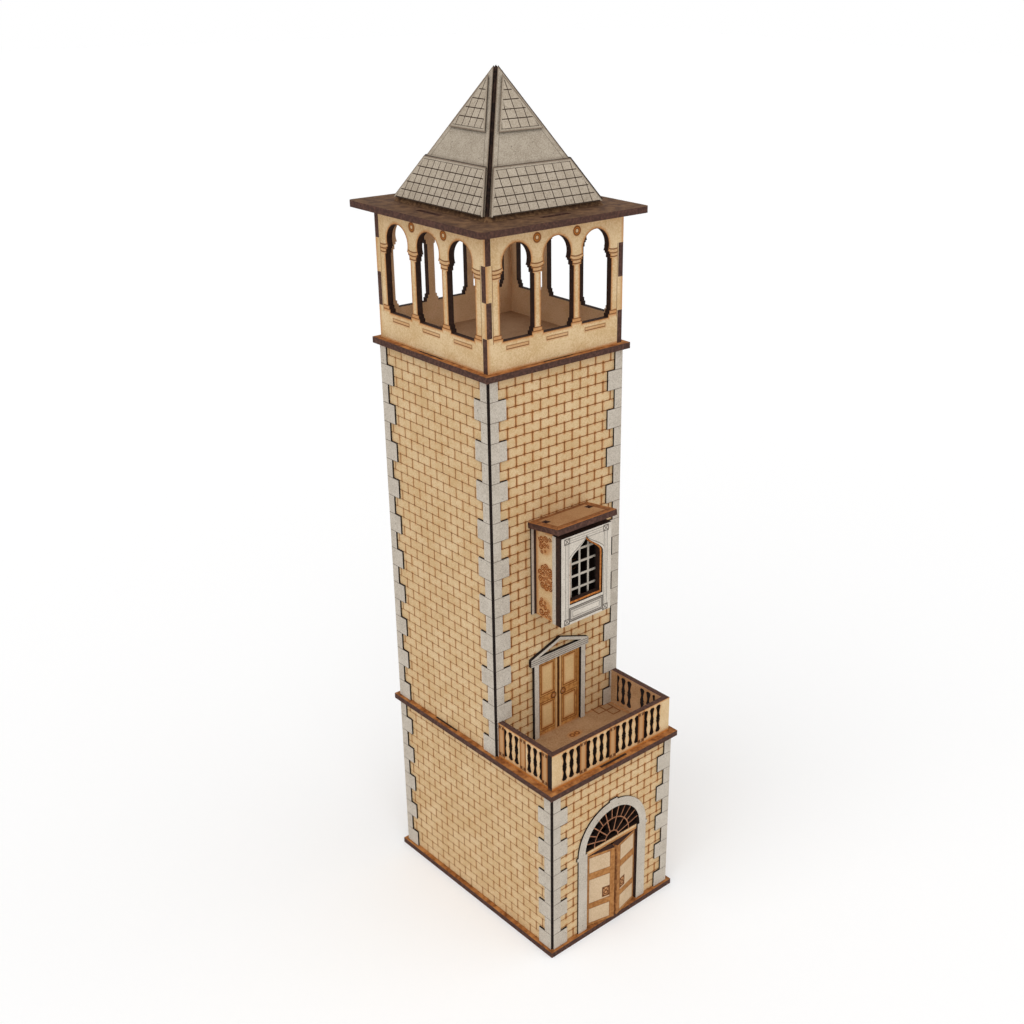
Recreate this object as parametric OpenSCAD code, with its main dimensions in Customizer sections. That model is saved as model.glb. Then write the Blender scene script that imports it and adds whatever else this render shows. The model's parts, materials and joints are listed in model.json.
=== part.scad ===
// Tabletop model of a bell tower, cut from fibreboard sheet and dressed with grey card.
// Millimetres. The origin is the centre of the base plate's underside; the doors face -Y.

/* [Sheet stock] */
// Thickness of the fibreboard sheet
sheet_t = 3; // [2:0.25:4]
// Thickness of the grey card
card_t = 1; // [0.5:0.1:1.5]

/* [Walls] */
// Outer width of the tower, and the outer depth of its shaft
tower_w = 82; // [76:1:96]
// Outer depth of the ground storey
lower_depth = 124; // [112:1:150]
// Height of the ground storey's walls
lower_h = 93.6; // [84:0.1:110]
// Height of the shaft's walls
shaft_h = 196.9; // [170:0.1:230]
// Height of the belfry's walls
belfry_h = 61.8; // [60:0.1:75]

/* [Plates] */
// How far the base plate stands out beyond the walls
base_lip = 2.5; // [1:0.25:6]
// How far the balcony floor stands out beyond the walls
ledge_lip = 2.75; // [1:0.25:6]
// How far the belfry floor stands out beyond the walls
cornice_lip = 3; // [1:0.25:6]
// How far the eaves plate stands out beyond the walls
eaves_lip = 8.5; // [4:0.5:14]
// Corner radius of the eaves plate
eaves_corner_r = 2.5; // [0.5:0.25:5]
// Length of the tabs that lock the belfry walls into the eaves plate
tab_l = 17; // [8:0.5:24]
// Depth of the open slot left above each tab
tab_recess = 0.8; // [0.2:0.1:1.5]

/* [Corner stones] */
// Width of a long corner stone
stone_long = 9.3; // [7:0.1:13]
// Width of a short corner stone
stone_short = 4.7; // [3:0.1:6.5]
// Corner stones in the height of the ground storey
lower_stones = 10; // [6:2:16]
// Corner stones in the height of the shaft
shaft_stones = 20; // [12:2:28]

/* [Doorway] */
// Width of the doorway
door_w = 36; // [28:0.5:38]
// Height of the doorway above the base plate
door_h = 45.6; // [38:0.1:50]
// Height of the bar between the doorway and the fanlight
transom_h = 3; // [2.4:0.1:5]
// Radius of the fanlight
fan_r = 19.3; // [15:0.1:20]
// Outer radius of the fanlight's middle ring
fan_ring_r = 12.5; // [9:0.25:13]
// Outer radius of the fanlight's hub ring
fan_hub_r = 4.8; // [3:0.1:7]
// Width of the fanlight's bars and rings
fan_bar = 0.6; // [0.5:0.1:1.2]
// Angle between the fanlight's outer bars
fan_step = 15; // [10:5:30]
// Width of the card surround
surround_w = 4.7; // [3:0.1:6]
// Width of the card keystone
keystone_w = 5.2; // [3:0.1:8]
// How far the keystone and the imposts stand out of the surround
keystone_rise = 0.9; // [0.3:0.1:2]
// Height of the imposts
impost_h = 2; // [1:0.1:4]

/* [Door leaves] */
// Angle at which the leaves stand ajar
door_ajar = 13; // [0:1:40]
// Running gap around each leaf
leaf_gap = 0.35; // [0.2:0.05:0.6]
// Radius of the pivot pins
pin_r = 1; // [0.6:0.05:1]
// Length of the pivot pins
pin_l = 1.5; // [0.8:0.1:1.7]
// Running clearance around the pivot pins
pin_clear = 0.05; // [0.02:0.01:0.1]

/* [Balcony] */
// Height of the balustrade
rail_h = 20; // [15:0.5:28]
// How far the balustrade stands in from the walls below
rail_inset = 0.6; // [0:0.1:2]
// Distance between neighbouring gaps in the balustrade
gap_pitch = 4.55; // [3.8:0.05:5]
// Narrowest width of a gap
gap_w = 1.5; // [0.8:0.1:1.8]
// Half width of the bulbs near the ends of a gap
gap_bulb_r = 1.7; // [0.9:0.05:1.8]
// Half width of the beads at the middle of a gap
gap_bead_r = 1.5; // [0.8:0.05:1.6]
// Height of the plain strip under the gaps
gap_margin = 2.6; // [1.5:0.1:4]
// Height of the plain strip over the gaps
gap_head = 1.3; // [0.8:0.1:4]
// Distance between the pilasters of the front balustrade
pilaster_pitch = 20; // [18.5:0.1:22]
// Width of a pilaster
pilaster_w = 4.6; // [3:0.1:5]
// Width between the jambs of the balcony door
upper_door_w = 28.8; // [22:0.2:32]
// Height of the balcony door
upper_door_h = 43.4; // [36:0.2:52]
// Width of the balcony door's jambs
jamb_w = 2.9; // [2:0.1:4]
// Height of the balcony door's lintel
lintel_h = 4; // [3:0.1:6]
// How far the lintel runs past the jambs
lintel_run = 2.1; // [0.5:0.1:4]
// Rise of the pediment over the lintel
pediment_h = 6.8; // [4:0.2:10]
// Width of the pediment's raking bars
raking_w = 1.6; // [1:0.1:2.2]

/* [Bay window] */
// Height of the bay's underside above the balcony floor
bay_z = 72.7; // [64:0.1:80]
// Width of the bay
bay_w = 32.5; // [27:0.5:34]
// Depth of the bay's sides
bay_depth = 17; // [12:0.5:24]
// Height of the bay's walls
bay_h = 46.9; // [44:0.1:60]
// How far the bay's roof stands out beyond its sides
bay_lip = 2.8; // [1:0.1:5]
// How far the bay's roof stands out beyond its front
bay_front_lip = 0.8; // [0:0.1:4]
// Angle at which the bay's roof is lifted at its front
bay_tilt = 8; // [0:0.5:10]
// Length of the slots in the bay's roof
bay_slot_l = 4; // [3:0.5:8]
// Width of the card strips at the bay's corners
bay_strip_w = 2.5; // [1.5:0.1:4]
// Width of the window in the bay's front board
window_w = 19.4; // [16:0.2:22]
// Height of the window's sill above the bay's underside
window_sill = 11.6; // [9:0.1:14]
// Height of the window's straight sides
window_h = 21.5; // [16:0.1:23]
// Rise of the window's pointed head
window_rise = 10.6; // [6:0.1:11]
// Board that shows around the window inside the card
window_rim = 1.1; // [0.6:0.1:1.6]
// How far the window grille stands behind the front board
grille_back = 1.1; // [0:0.1:4]
// Width of the window grille's bars
grille_bar = 1.2; // [0.8:0.1:2]
// Distance between the grille's uprights
grille_pitch_x = 5.7; // [5:0.1:8]
// Height of the grille's first crossbar above the window's sill
grille_first = 3.5; // [2:0.1:6]
// Distance between the grille's crossbars
grille_pitch_z = 6.85; // [5:0.05:9]

/* [Belfry] */
// Distance between the belfry arches
arch_pitch = 23.6; // [22:0.1:24.5]
// Width of the columns between the arches
column_w = 3.8; // [3:0.1:5]
// Height of the arches' sill above the belfry floor
arch_sill = 13.5; // [8:0.1:16]
// Height of the arches' springing above the belfry floor
arch_spring = 48.1; // [44:0.1:49]
// Radius of the arches
arch_r = 8.15; // [7:0.05:8.6]
// How far the arches run on below their middle and close in, like a horseshoe
arch_close = 3.2; // [0:0.1:4]
// How far the column bases stand out of the columns
base_run = 1.55; // [0.8:0.05:2]
// Height of the column bases
column_base_h = 3.3; // [2:0.1:5]
// Height of the column capitals
capital_h = 6.6; // [4:0.1:9]
// Height of one finger of the corner joints
finger_h = 16; // [12:0.1:18]

/* [Roof] */
// Width of the roof cards at their foot
roof_w = 70.5; // [60:0.5:74]
// Height of the roof from the cards' foot to where their faces would meet
roof_h = 62; // [45:0.5:80]
// How far the roof cards' foot stands above the eaves plate
card_lift = 2.3; // [0:0.1:4]
// Height of the lower tiled band, as a share of the roof's height
band_low = 0.3; // [0.25:0.01:0.45]
// Height at which the upper tiled piece begins, as a share of the roof's height
band_high = 0.51; // [0.5:0.01:0.75]
// Gap left along the hips between the roof cards
hip_gap = 1.3; // [0.3:0.1:3]
// How far the lower tiled band stops short of its card's edge along the hips
lower_inset = 1; // [0:0.1:3]
// How far the upper tiled piece stops short of its card's edge along the hips
upper_inset = 3; // [0:0.1:5]

/* [Hidden] */
$fn = 48;
eps = 0.02;
head_steps = 16;

BOARD = [0.84, 0.71, 0.54];
BURNT = [0.45, 0.31, 0.22];
CARD = [0.77, 0.75, 0.71];
SLATE = [0.70, 0.67, 0.62];

// Levels
lower_z = sheet_t;
ledge_z = lower_z + lower_h;
shaft_z = ledge_z + sheet_t;
cornice_z = shaft_z + shaft_h;
belfry_z = cornice_z + sheet_t;
eaves_z = belfry_z + belfry_h;
roof_z = eaves_z + sheet_t;

// Half the width between two belfry columns
open_half = (arch_pitch - column_w) / 2;

// Wall faces: the shaft stands at the back of the ground storey
half_w = tower_w / 2;
half_d = lower_depth / 2;
shaft_front = half_d - tower_w;
shaft_mid = half_d - half_w;

// Doorway
door_half = door_w / 2;
door_top = lower_z + door_h;
fan_z = door_top + transom_h;
surround_r = fan_r + surround_w;
hinge_x = door_half - leaf_gap - sheet_t / 2;
hinge_y = -half_d + sheet_t / 2;
leaf_l = hinge_x - leaf_gap / 2;
pin_end_gap = 0.1;

// Balcony
rail_back = shaft_front - card_t;
rail_half = half_w - rail_inset;
rail_front = -half_d + rail_inset;
rail_inner_l = rail_back - rail_front - sheet_t;
lintel_half = upper_door_w / 2 + jamb_w + lintel_run;
trim_t = 2 * card_t;

// Bay window
bay_bottom = shaft_z + bay_z;
bay_top = bay_bottom + bay_h;
bay_half = bay_w / 2;
bay_side_x = bay_half - card_t;
bay_back = shaft_front;
bay_side_end = bay_back - bay_depth;
bay_board_end = bay_side_end - sheet_t;
bay_card_end = bay_board_end - card_t;
window_z = bay_bottom + window_sill;

// Roof: layers are counted inwards from the tiled bands' outer faces
roof_half = roof_w / 2;
slope = atan(roof_h / roof_half);
panel_layer = 2 * card_t;
roof_peak = card_lift + roof_h;
roof_foot_half = roof_half + card_lift / tan(slope);

// A box from its low corner to its high corner
module box(low, high) {
    translate(low) cube(high - low);
}

// A drawing of X and Z stood up as a sheet, from its outer face y back to y + t
module upright(y, t) {
    translate([0, y + t, 0]) rotate([90, 0, 0]) linear_extrude(t) children();
}

// The same shape on the other side of the tower
module mirrored() {
    mirror([1, 0, 0]) children();
}

// A piece of the belfry or roof, turned from the front to another side of the shaft
module on_side(turn) {
    translate([0, shaft_mid, 0]) rotate([0, 0, turn]) children();
}

// A rectangle from two corners
module rect(low, high) {
    translate(low) square(high - low);
}

// A level plate over a rectangle of walls
module plate(front, back, lip, z) {
    box([-half_w - lip, front - lip, z], [half_w + lip, back + lip, z + sheet_t]);
}

// Ground storey

module pivot_hole(z) {
    r = pin_r + pin_clear;
    depth = pin_l + pin_end_gap;
    translate([-hinge_x, hinge_y, z]) cylinder(r = r, h = depth);
    translate([hinge_x, hinge_y, z]) cylinder(r = r, h = depth);
}

module base_plate() {
    color(BURNT) difference() {
        plate(-half_d, half_d, base_lip, 0);
        pivot_hole(lower_z - pin_l - pin_end_gap + leaf_gap);
    }
}

module lower_front_wall_left() {
    color(BOARD) box([-half_w, -half_d, lower_z], [-door_half, -half_d + sheet_t, door_top]);
}

module lower_front_wall_right() {
    color(BOARD) mirrored() lower_front_wall_left();
}

module half_disc(r) {
    intersection() {
        circle(r);
        rect([-r, 0], [r, r]);
    }
}

module half_ring(r, w) {
    difference() {
        half_disc(r);
        circle(r - w);
    }
}

// Bars from a ring out to the rim, sunk half a bar into both
module fan_bars(first, ring_r) {
    for (a = [first : 2 * fan_step : 180 - fan_step / 2])
        rotate(a) rect([ring_r - fan_bar / 2, -fan_bar / 2], [fan_r + fan_bar / 2, fan_bar / 2]);
}

module fanlight_bars() {
    half_ring(fan_ring_r, fan_bar);
    half_ring(fan_hub_r, fan_bar);
    fan_bars(fan_step, fan_hub_r);
    fan_bars(2 * fan_step, fan_ring_r);
}

module lower_front_wall_head() {
    color(BOARD) difference() {
        upright(-half_d, sheet_t) {
            difference() {
                rect([-half_w, door_top], [half_w, ledge_z]);
                translate([0, fan_z]) half_disc(fan_r);
            }
            translate([0, fan_z]) fanlight_bars();
        }
        pivot_hole(door_top - leaf_gap);
    }
}

module lower_left_wall() {
    color(BOARD)
        box([-half_w, -half_d + sheet_t, lower_z], [-half_w + sheet_t, half_d - sheet_t, ledge_z]);
}

module lower_right_wall() {
    color(BOARD) mirrored() lower_left_wall();
}

module lower_back_wall() {
    color(BOARD) box([-half_w, half_d - sheet_t, lower_z], [half_w, half_d, ledge_z]);
}

// One strip of corner stones, long and short in turn, its corner edge on x = 0
module stone_strip(h, stones) {
    stone_h = h / stones;
    rect([0, 0], [stone_short, h]);
    for (i = [0 : 2 : stones - 1])
        rect([0, i * stone_h], [stone_long, (i + 1) * stone_h]);
}

// The strips on both faces of the four corners of a rectangle of walls
module corner_stones(front, back, z, h, stones) {
    for (side = [0, 1]) mirror([side, 0, 0]) {
        upright(front - card_t, card_t) translate([-half_w, z]) stone_strip(h, stones);
        upright(back, card_t) translate([-half_w, z]) stone_strip(h, stones);
        translate([-half_w, front, 0]) rotate([0, 0, 90])
            upright(0, card_t) translate([0, z]) stone_strip(h, stones);
        translate([-half_w, back, 0]) rotate([0, 0, 90])
            upright(0, card_t) mirror([1, 0]) translate([0, z]) stone_strip(h, stones);
    }
}

module lower_corner_stones() {
    color(CARD) corner_stones(-half_d, half_d, lower_z, lower_h, lower_stones);
}

module door_surround() {
    impost_half = surround_r + keystone_rise;
    color(CARD) upright(-half_d - card_t, card_t) difference() {
        union() {
            rect([-surround_r, lower_z], [surround_r, fan_z]);
            translate([0, fan_z]) half_disc(surround_r);
            rect([-impost_half, fan_z - impost_h], [impost_half, fan_z]);
            rect([-keystone_w / 2, fan_z + fan_r], [keystone_w / 2, fan_z + surround_r + keystone_rise]);
        }
        rect([-door_half, lower_z - eps], [door_half, fan_z + eps]);
        translate([0, fan_z]) half_disc(fan_r);
    }
}

// The left leaf, drawn shut with its pivot on the Z axis
module shut_leaf() {
    low = lower_z + leaf_gap;
    high = door_top - leaf_gap;
    translate([0, 0, low]) cylinder(d = sheet_t, h = high - low);
    box([0, -sheet_t / 2, low], [leaf_l, sheet_t / 2, high]);
    translate([0, 0, low - pin_l]) cylinder(r = pin_r, h = high - low + 2 * pin_l);
}

module left_door_leaf() {
    color(BOARD) translate([-hinge_x, hinge_y, 0]) rotate([0, 0, -door_ajar]) shut_leaf();
}

module right_door_leaf() {
    color(BOARD) mirrored() left_door_leaf();
}

module ledge_plate() {
    color(BURNT) plate(-half_d, half_d, ledge_lip, ledge_z);
}

// Shaft

module shaft_front_wall() {
    color(BOARD) box([-half_w, shaft_front, shaft_z], [half_w, shaft_front + sheet_t, cornice_z]);
}

module shaft_left_wall() {
    color(BOARD) box([-half_w, shaft_front + sheet_t, shaft_z],
                     [-half_w + sheet_t, half_d - sheet_t, cornice_z]);
}

module shaft_right_wall() {
    color(BOARD) mirrored() shaft_left_wall();
}

module shaft_back_wall() {
    color(BOARD) box([-half_w, half_d - sheet_t, shaft_z], [half_w, half_d, cornice_z]);
}

module shaft_corner_stones() {
    color(CARD) corner_stones(shaft_front, half_d, shaft_z, shaft_h, shaft_stones);
}

module balcony_door_surround() {
    top = shaft_z + upper_door_h;
    lintel_top = top + lintel_h;
    jamb_half = upper_door_w / 2 + jamb_w;
    rake = atan(pediment_h / lintel_half);
    inner_half = lintel_half - raking_w / sin(rake);
    inner_h = pediment_h - raking_w / cos(rake);
    color(CARD) upright(shaft_front - trim_t, trim_t) {
        difference() {
            rect([-jamb_half, shaft_z], [jamb_half, top]);
            rect([-upper_door_w / 2, shaft_z - eps], [upper_door_w / 2, top + eps]);
        }
        rect([-lintel_half, top], [lintel_half, lintel_top]);
        translate([0, lintel_top]) difference() {
            polygon([[-lintel_half, 0], [lintel_half, 0], [0, pediment_h]]);
            polygon([[-inner_half, 0], [inner_half, 0], [0, inner_h]]);
        }
    }
}

// Balustrade

// One gap between two turned balusters, drawn from its middle out to both ends
module baluster_gap() {
    half_h = (rail_h - gap_margin - gap_head) / 2;
    neck = gap_w / 2;
    waist = (neck + gap_bead_r) / 2;
    flare = (neck + gap_bulb_r) / 2;
    steps = [
        [0, waist], [0.1, gap_bead_r], [0.2, waist], [0.4, neck], [0.7, flare], [0.88, gap_bulb_r], [1, neck]
    ];
    right = [for (s = steps) [s[1], s[0] * half_h]];
    left = [for (i = [len(right) - 1 : -1 : 0]) [-right[i][0], right[i][1]]];
    translate([0, gap_margin + half_h]) for (up = [0, 1]) mirror([0, up]) polygon(concat(right, left));
}

module gap_row(middle, gaps) {
    for (i = [0 : 1 : gaps - 1])
        translate([middle + (i - (gaps - 1) / 2) * gap_pitch, 0]) baluster_gap();
}

// A balustrade panel, its children cut out of it everywhere but at its pilasters
module rail_panel(left, right, pilasters) {
    difference() {
        rect([left, 0], [right, rail_h]);
        difference() {
            union() children();
            for (x = pilasters) rect([x - pilaster_w / 2, 0], [x + pilaster_w / 2, rail_h]);
        }
    }
}

// Rows between two pilasters run on behind them; the end rows stop short of the corners
module balustrade_front() {
    inner_gaps = ceil((pilaster_pitch - pilaster_w) / gap_pitch);
    outer_gaps = floor((rail_half - pilaster_pitch - pilaster_w) / gap_pitch);
    beside = pilaster_pitch / 2 - (inner_gaps - 1) / 2 * gap_pitch;
    outer_mid = pilaster_pitch + beside + (outer_gaps - 1) / 2 * gap_pitch;
    color(BOARD) upright(rail_front, sheet_t) translate([0, shaft_z])
        rail_panel(-rail_half, rail_half, [-pilaster_pitch, 0, pilaster_pitch])
            for (side = [-1, 1]) {
                gap_row(side * pilaster_pitch / 2, inner_gaps);
                gap_row(side * outer_mid, outer_gaps);
            }
}

module balustrade_left() {
    mid = -rail_inner_l / 2;
    end = (rail_inner_l - pilaster_w) / 2;
    gaps = ceil((end - pilaster_w) / gap_pitch);
    color(BOARD) translate([-rail_half, rail_back, shaft_z]) rotate([0, 0, 90]) upright(-sheet_t, sheet_t)
        rail_panel(-rail_inner_l, 0, [mid - end, mid, mid + end])
            for (side = [-1, 1]) gap_row(mid + side * rail_inner_l / 4, gaps);
}

module balustrade_right() {
    color(BOARD) mirrored() balustrade_left();
}

// Bay window

module bay_left_side() {
    color(BOARD) box([-bay_side_x, bay_side_end, bay_bottom],
                     [-bay_side_x + sheet_t, bay_back, bay_top]);
}

module bay_right_side() {
    color(BOARD) mirrored() bay_left_side();
}

// Right half of a pointed head: a round shoulder, then a hollow sweep up to the point
function head_points(half, rise) = [
    for (i = [0 : head_steps]) let (t = i / head_steps) [half * (1 + cos(180 * t)) / 2, rise * t]
];

module pointed_window(half, h, rise) {
    right = head_points(half, rise);
    left = [for (i = [head_steps - 1 : -1 : 0]) [-right[i][0], right[i][1]]];
    rect([-half, 0], [half, h]);
    translate([0, h - eps]) polygon(concat(right, left));
}

module bay_front_board() {
    color(BOARD) upright(bay_board_end, sheet_t) difference() {
        rect([-bay_half, bay_bottom], [bay_half, bay_top]);
        translate([0, window_z]) pointed_window(window_w / 2, window_h, window_rise);
    }
}

module bay_front_card() {
    color(CARD) upright(bay_card_end, card_t) difference() {
        rect([-bay_half, bay_bottom], [bay_half, bay_top]);
        translate([0, window_z - window_rim])
            pointed_window(window_w / 2 + window_rim, window_h + window_rim, window_rise + window_rim);
    }
}

// Card strips down the bay's front corners, and on the shaft wall beside the bay
module bay_corner_cards() {
    color(CARD) for (side = [0, 1]) mirror([side, 0, 0]) {
        box([-bay_half, bay_side_end, bay_bottom],
            [-bay_side_x, bay_side_end + bay_strip_w, bay_top]);
        box([-bay_side_x - bay_strip_w, shaft_front - card_t, bay_bottom],
            [-bay_side_x, shaft_front, bay_top]);
    }
}

// Uprights over the bay's whole height, and crossbars up to half-way up the window's head
module bay_grille() {
    half = bay_side_x - sheet_t;
    top = window_z + window_h + window_rise / 2;
    rows = floor((top - window_z - grille_first) / grille_pitch_z);
    columns = floor((half - grille_bar / 2) / grille_pitch_x);
    color(CARD) upright(bay_side_end + grille_back, card_t) {
        for (i = [-columns : columns])
            rect([i * grille_pitch_x - grille_bar / 2, bay_bottom + sheet_t],
                 [i * grille_pitch_x + grille_bar / 2, bay_top]);
        for (i = [0 : rows])
            translate([0, window_z + grille_first + i * grille_pitch_z])
                rect([-half, -grille_bar / 2], [half, grille_bar / 2]);
    }
}

module bay_floor() {
    half = bay_side_x - sheet_t;
    color(BOARD) box([-half, bay_side_end, bay_bottom], [half, bay_back, bay_bottom + sheet_t]);
}

module bay_roof() {
    half = bay_half + bay_lip;
    depth = bay_back - bay_card_end + bay_front_lip;
    slot_y = -depth / 3;
    // Lifted, its top back edge stays against the wall
    set_back = sheet_t * sin(bay_tilt);
    color(BURNT) translate([0, bay_back - set_back, bay_top]) rotate([-bay_tilt, 0, 0]) difference() {
        box([-half, -depth, 0], [half, 0, sheet_t]);
        for (side = [0, 1]) mirror([side, 0, 0])
            box([-bay_side_x, slot_y - bay_slot_l / 2, -eps],
                [-bay_side_x + sheet_t, slot_y + bay_slot_l / 2, sheet_t + eps]);
    }
}

// Belfry

module cornice_plate() {
    color(BURNT) plate(shaft_front, half_d, cornice_lip, cornice_z);
}

// One arched opening on its own centre line, with column bases and capitals left standing
module arch_opening() {
    foot_half = open_half - base_run;
    step_half = open_half - base_run / 2;
    capital_z = arch_spring - capital_h;
    rect([-foot_half, arch_sill], [foot_half, arch_spring - arch_close]);
    rect([-step_half, arch_sill + column_base_h / 2], [step_half, capital_z + capital_h / 3]);
    rect([-open_half, arch_sill + column_base_h], [open_half, capital_z]);
    translate([0, arch_spring]) circle(arch_r);
}

// Notches for the next wall's fingers at one end of a belfry wall
module finger_notches(first) {
    for (z = [first * finger_h : 2 * finger_h : belfry_h])
        rect([0, z], [sheet_t, min(z + finger_h, belfry_h)]);
}

// A belfry wall seen from outside, its foot on z = 0
module belfry_sheet() {
    difference() {
        rect([-half_w, 0], [half_w, belfry_h]);
        for (i = [-1 : 1]) translate([i * arch_pitch, 0]) arch_opening();
        translate([-half_w, 0]) finger_notches(1);
        translate([half_w - sheet_t, 0]) finger_notches(0);
    }
    rect([-tab_l / 2, belfry_h - eps], [tab_l / 2, belfry_h + sheet_t - tab_recess]);
}

module belfry_wall() {
    color(BOARD) translate([0, 0, belfry_z]) upright(-half_w, sheet_t) belfry_sheet();
}

module belfry_front_wall() {
    on_side(0) belfry_wall();
}

module belfry_right_wall() {
    on_side(90) belfry_wall();
}

module belfry_back_wall() {
    on_side(180) belfry_wall();
}

module belfry_left_wall() {
    on_side(270) belfry_wall();
}

module eaves_plate() {
    half = half_w + eaves_lip;
    r = eaves_corner_r;
    color(BURNT) translate([0, shaft_mid, eaves_z]) linear_extrude(sheet_t) difference() {
        union() {
            rect([-half + r, -half], [half - r, half]);
            rect([-half, -half + r], [half, half - r]);
            for (x = [-1, 1], y = [-1, 1]) translate([x * (half - r), y * (half - r)]) circle(r);
        }
        for (turn = [0 : 90 : 270]) rotate(turn)
            rect([-tab_l / 2, -half_w], [tab_l / 2, -half_w + sheet_t]);
    }
}

// Roof

// One side of a layer of the roof, from depth near to depth far under its outer faces,
// kept a gap away from the hips and between two heights
module roof_layer(near, far, gap, low, high) {
    foot = 1 / sin(slope);
    rise = 1 / cos(slope);
    wedge = roof_foot_half + gap;
    intersection() {
        rotate([90, 0, 90]) translate([0, 0, -roof_foot_half]) linear_extrude(2 * roof_foot_half)
            polygon([
                [-roof_foot_half + near * foot, 0], [-roof_foot_half + far * foot, 0],
                [0, roof_peak - far * rise], [0, roof_peak - near * rise]
            ]);
        translate([0, -gap, low]) linear_extrude(high - low)
            polygon([[0, 0], [-wedge, -wedge], [wedge, -wedge]]);
    }
}

module roof_panel() {
    color(BURNT) translate([0, 0, roof_z]) roof_layer(panel_layer, panel_layer + sheet_t, 0, 0, roof_peak);
}

module roof_tiles() {
    color(SLATE) translate([0, 0, roof_z]) {
        roof_layer(card_t, panel_layer, hip_gap, card_lift, roof_peak);
        roof_layer(0, card_t + eps, hip_gap + lower_inset, card_lift, card_lift + band_low * roof_h);
        roof_layer(0, card_t + eps, hip_gap + upper_inset, card_lift + band_high * roof_h, roof_peak);
    }
}

module roof_front_panel() {
    on_side(0) roof_panel();
}

module roof_right_panel() {
    on_side(90) roof_panel();
}

module roof_back_panel() {
    on_side(180) roof_panel();
}

module roof_left_panel() {
    on_side(270) roof_panel();
}

module roof_front_tiles() {
    on_side(0) roof_tiles();
}

module roof_right_tiles() {
    on_side(90) roof_tiles();
}

module roof_back_tiles() {
    on_side(180) roof_tiles();
}

module roof_left_tiles() {
    on_side(270) roof_tiles();
}

base_plate();
lower_front_wall_left();
lower_front_wall_right();
lower_front_wall_head();
lower_left_wall();
lower_right_wall();
lower_back_wall();
lower_corner_stones();
door_surround();
left_door_leaf();
right_door_leaf();
ledge_plate();
shaft_front_wall();
shaft_left_wall();
shaft_right_wall();
shaft_back_wall();
shaft_corner_stones();
balcony_door_surround();
balustrade_front();
balustrade_left();
balustrade_right();
bay_left_side();
bay_right_side();
bay_front_board();
bay_front_card();
bay_corner_cards();
bay_grille();
bay_floor();
bay_roof();
cornice_plate();
belfry_front_wall();
belfry_right_wall();
belfry_back_wall();
belfry_left_wall();
eaves_plate();
roof_front_panel();
roof_right_panel();
roof_back_panel();
roof_left_panel();
roof_front_tiles();
roof_right_tiles();
roof_back_tiles();
roof_left_tiles();
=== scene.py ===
"""Looks of the bell tower model: etched fibreboard walls, grey card dressings and a tiled card roof.

Sizes in the code are millimetres, as on the part; MM turns them into Blender's metres.
"""

import json
import math
from functools import partial, reduce

import bmesh
import bpy
from mathutils import Euler, Matrix, Vector

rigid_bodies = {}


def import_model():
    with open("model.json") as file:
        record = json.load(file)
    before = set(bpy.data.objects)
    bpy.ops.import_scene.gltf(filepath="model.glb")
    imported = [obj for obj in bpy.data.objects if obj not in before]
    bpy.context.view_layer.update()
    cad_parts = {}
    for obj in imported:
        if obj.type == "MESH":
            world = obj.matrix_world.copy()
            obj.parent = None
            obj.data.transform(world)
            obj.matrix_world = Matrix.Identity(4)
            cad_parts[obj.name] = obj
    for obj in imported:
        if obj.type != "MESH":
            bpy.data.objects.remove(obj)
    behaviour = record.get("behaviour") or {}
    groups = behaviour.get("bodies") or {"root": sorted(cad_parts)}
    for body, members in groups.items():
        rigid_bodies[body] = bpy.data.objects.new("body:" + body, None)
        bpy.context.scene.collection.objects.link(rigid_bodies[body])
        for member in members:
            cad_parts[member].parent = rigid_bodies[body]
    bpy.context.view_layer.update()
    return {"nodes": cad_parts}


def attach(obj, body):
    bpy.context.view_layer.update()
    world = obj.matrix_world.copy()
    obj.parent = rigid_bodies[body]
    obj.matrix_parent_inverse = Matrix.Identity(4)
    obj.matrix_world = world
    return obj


for old in list(bpy.data.objects):
    bpy.data.objects.remove(old)
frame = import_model()
NODES = frame["nodes"]
MM = 0.001

# Levels and faces of the tower
LOWER_Z, LEDGE_Z, SHAFT_Z = 3.0, 96.6, 99.6
CORNICE_Z, BELFRY_Z, EAVES_Z, ROOF_Z = 296.5, 299.5, 361.3, 364.3
HALF_W, HALF_D = 41.0, 62.0
SHAFT_FRONT, SHAFT_MID = -20.0, 21.0
BAY_FOOT, BAY_TOP = 172.3, 219.2
BAY_HALF, BAY_END = 16.25, -37.0
SCROLL_Y, SCROLL_Z = -29.0, 194.5
SIDES = {"front": 0, "right": 90, "back": 180, "left": 270}
FRONT, BACK, LEFT, RIGHT, UP = (0, -1, 0), (0, 1, 0), (-1, 0, 0), (1, 0, 0), (0, 0, 1)
SHEET = 3.0

# Doors: the fanlight's foot and radius, the hinges and how far the leaves stand open, the balcony door
FAN_Z, FAN_RADIUS = 51.6, 19.6
HINGE_X, HINGE_Y, AJAR = 16.15, -60.5, 13
DOOR_HALF, DOOR_H = 14.4, 43.4

# Balcony and bay: the floor between the rails, the rails' mid height and gaps, the tilt of the bay's roof
RAIL_SIDE, RAIL_FRONT, RAIL_MID, GAP_PITCH = 37.4, -58.4, 10.3, 4.55
BAY_TILT = -8

# Belfry walls: pitch, sill, foot, springing and radius of the arches, and the corner posts' inner edge
BELFRY_H = EAVES_Z - BELFRY_Z
ARCH_PITCH, ARCH_SILL, ARCH_FOOT, ARCH_SPRING, ARCH_RADIUS = 23.6, 13.5, 44.9, 48.1, 8.15
POST_EDGE = 37.4

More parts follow.
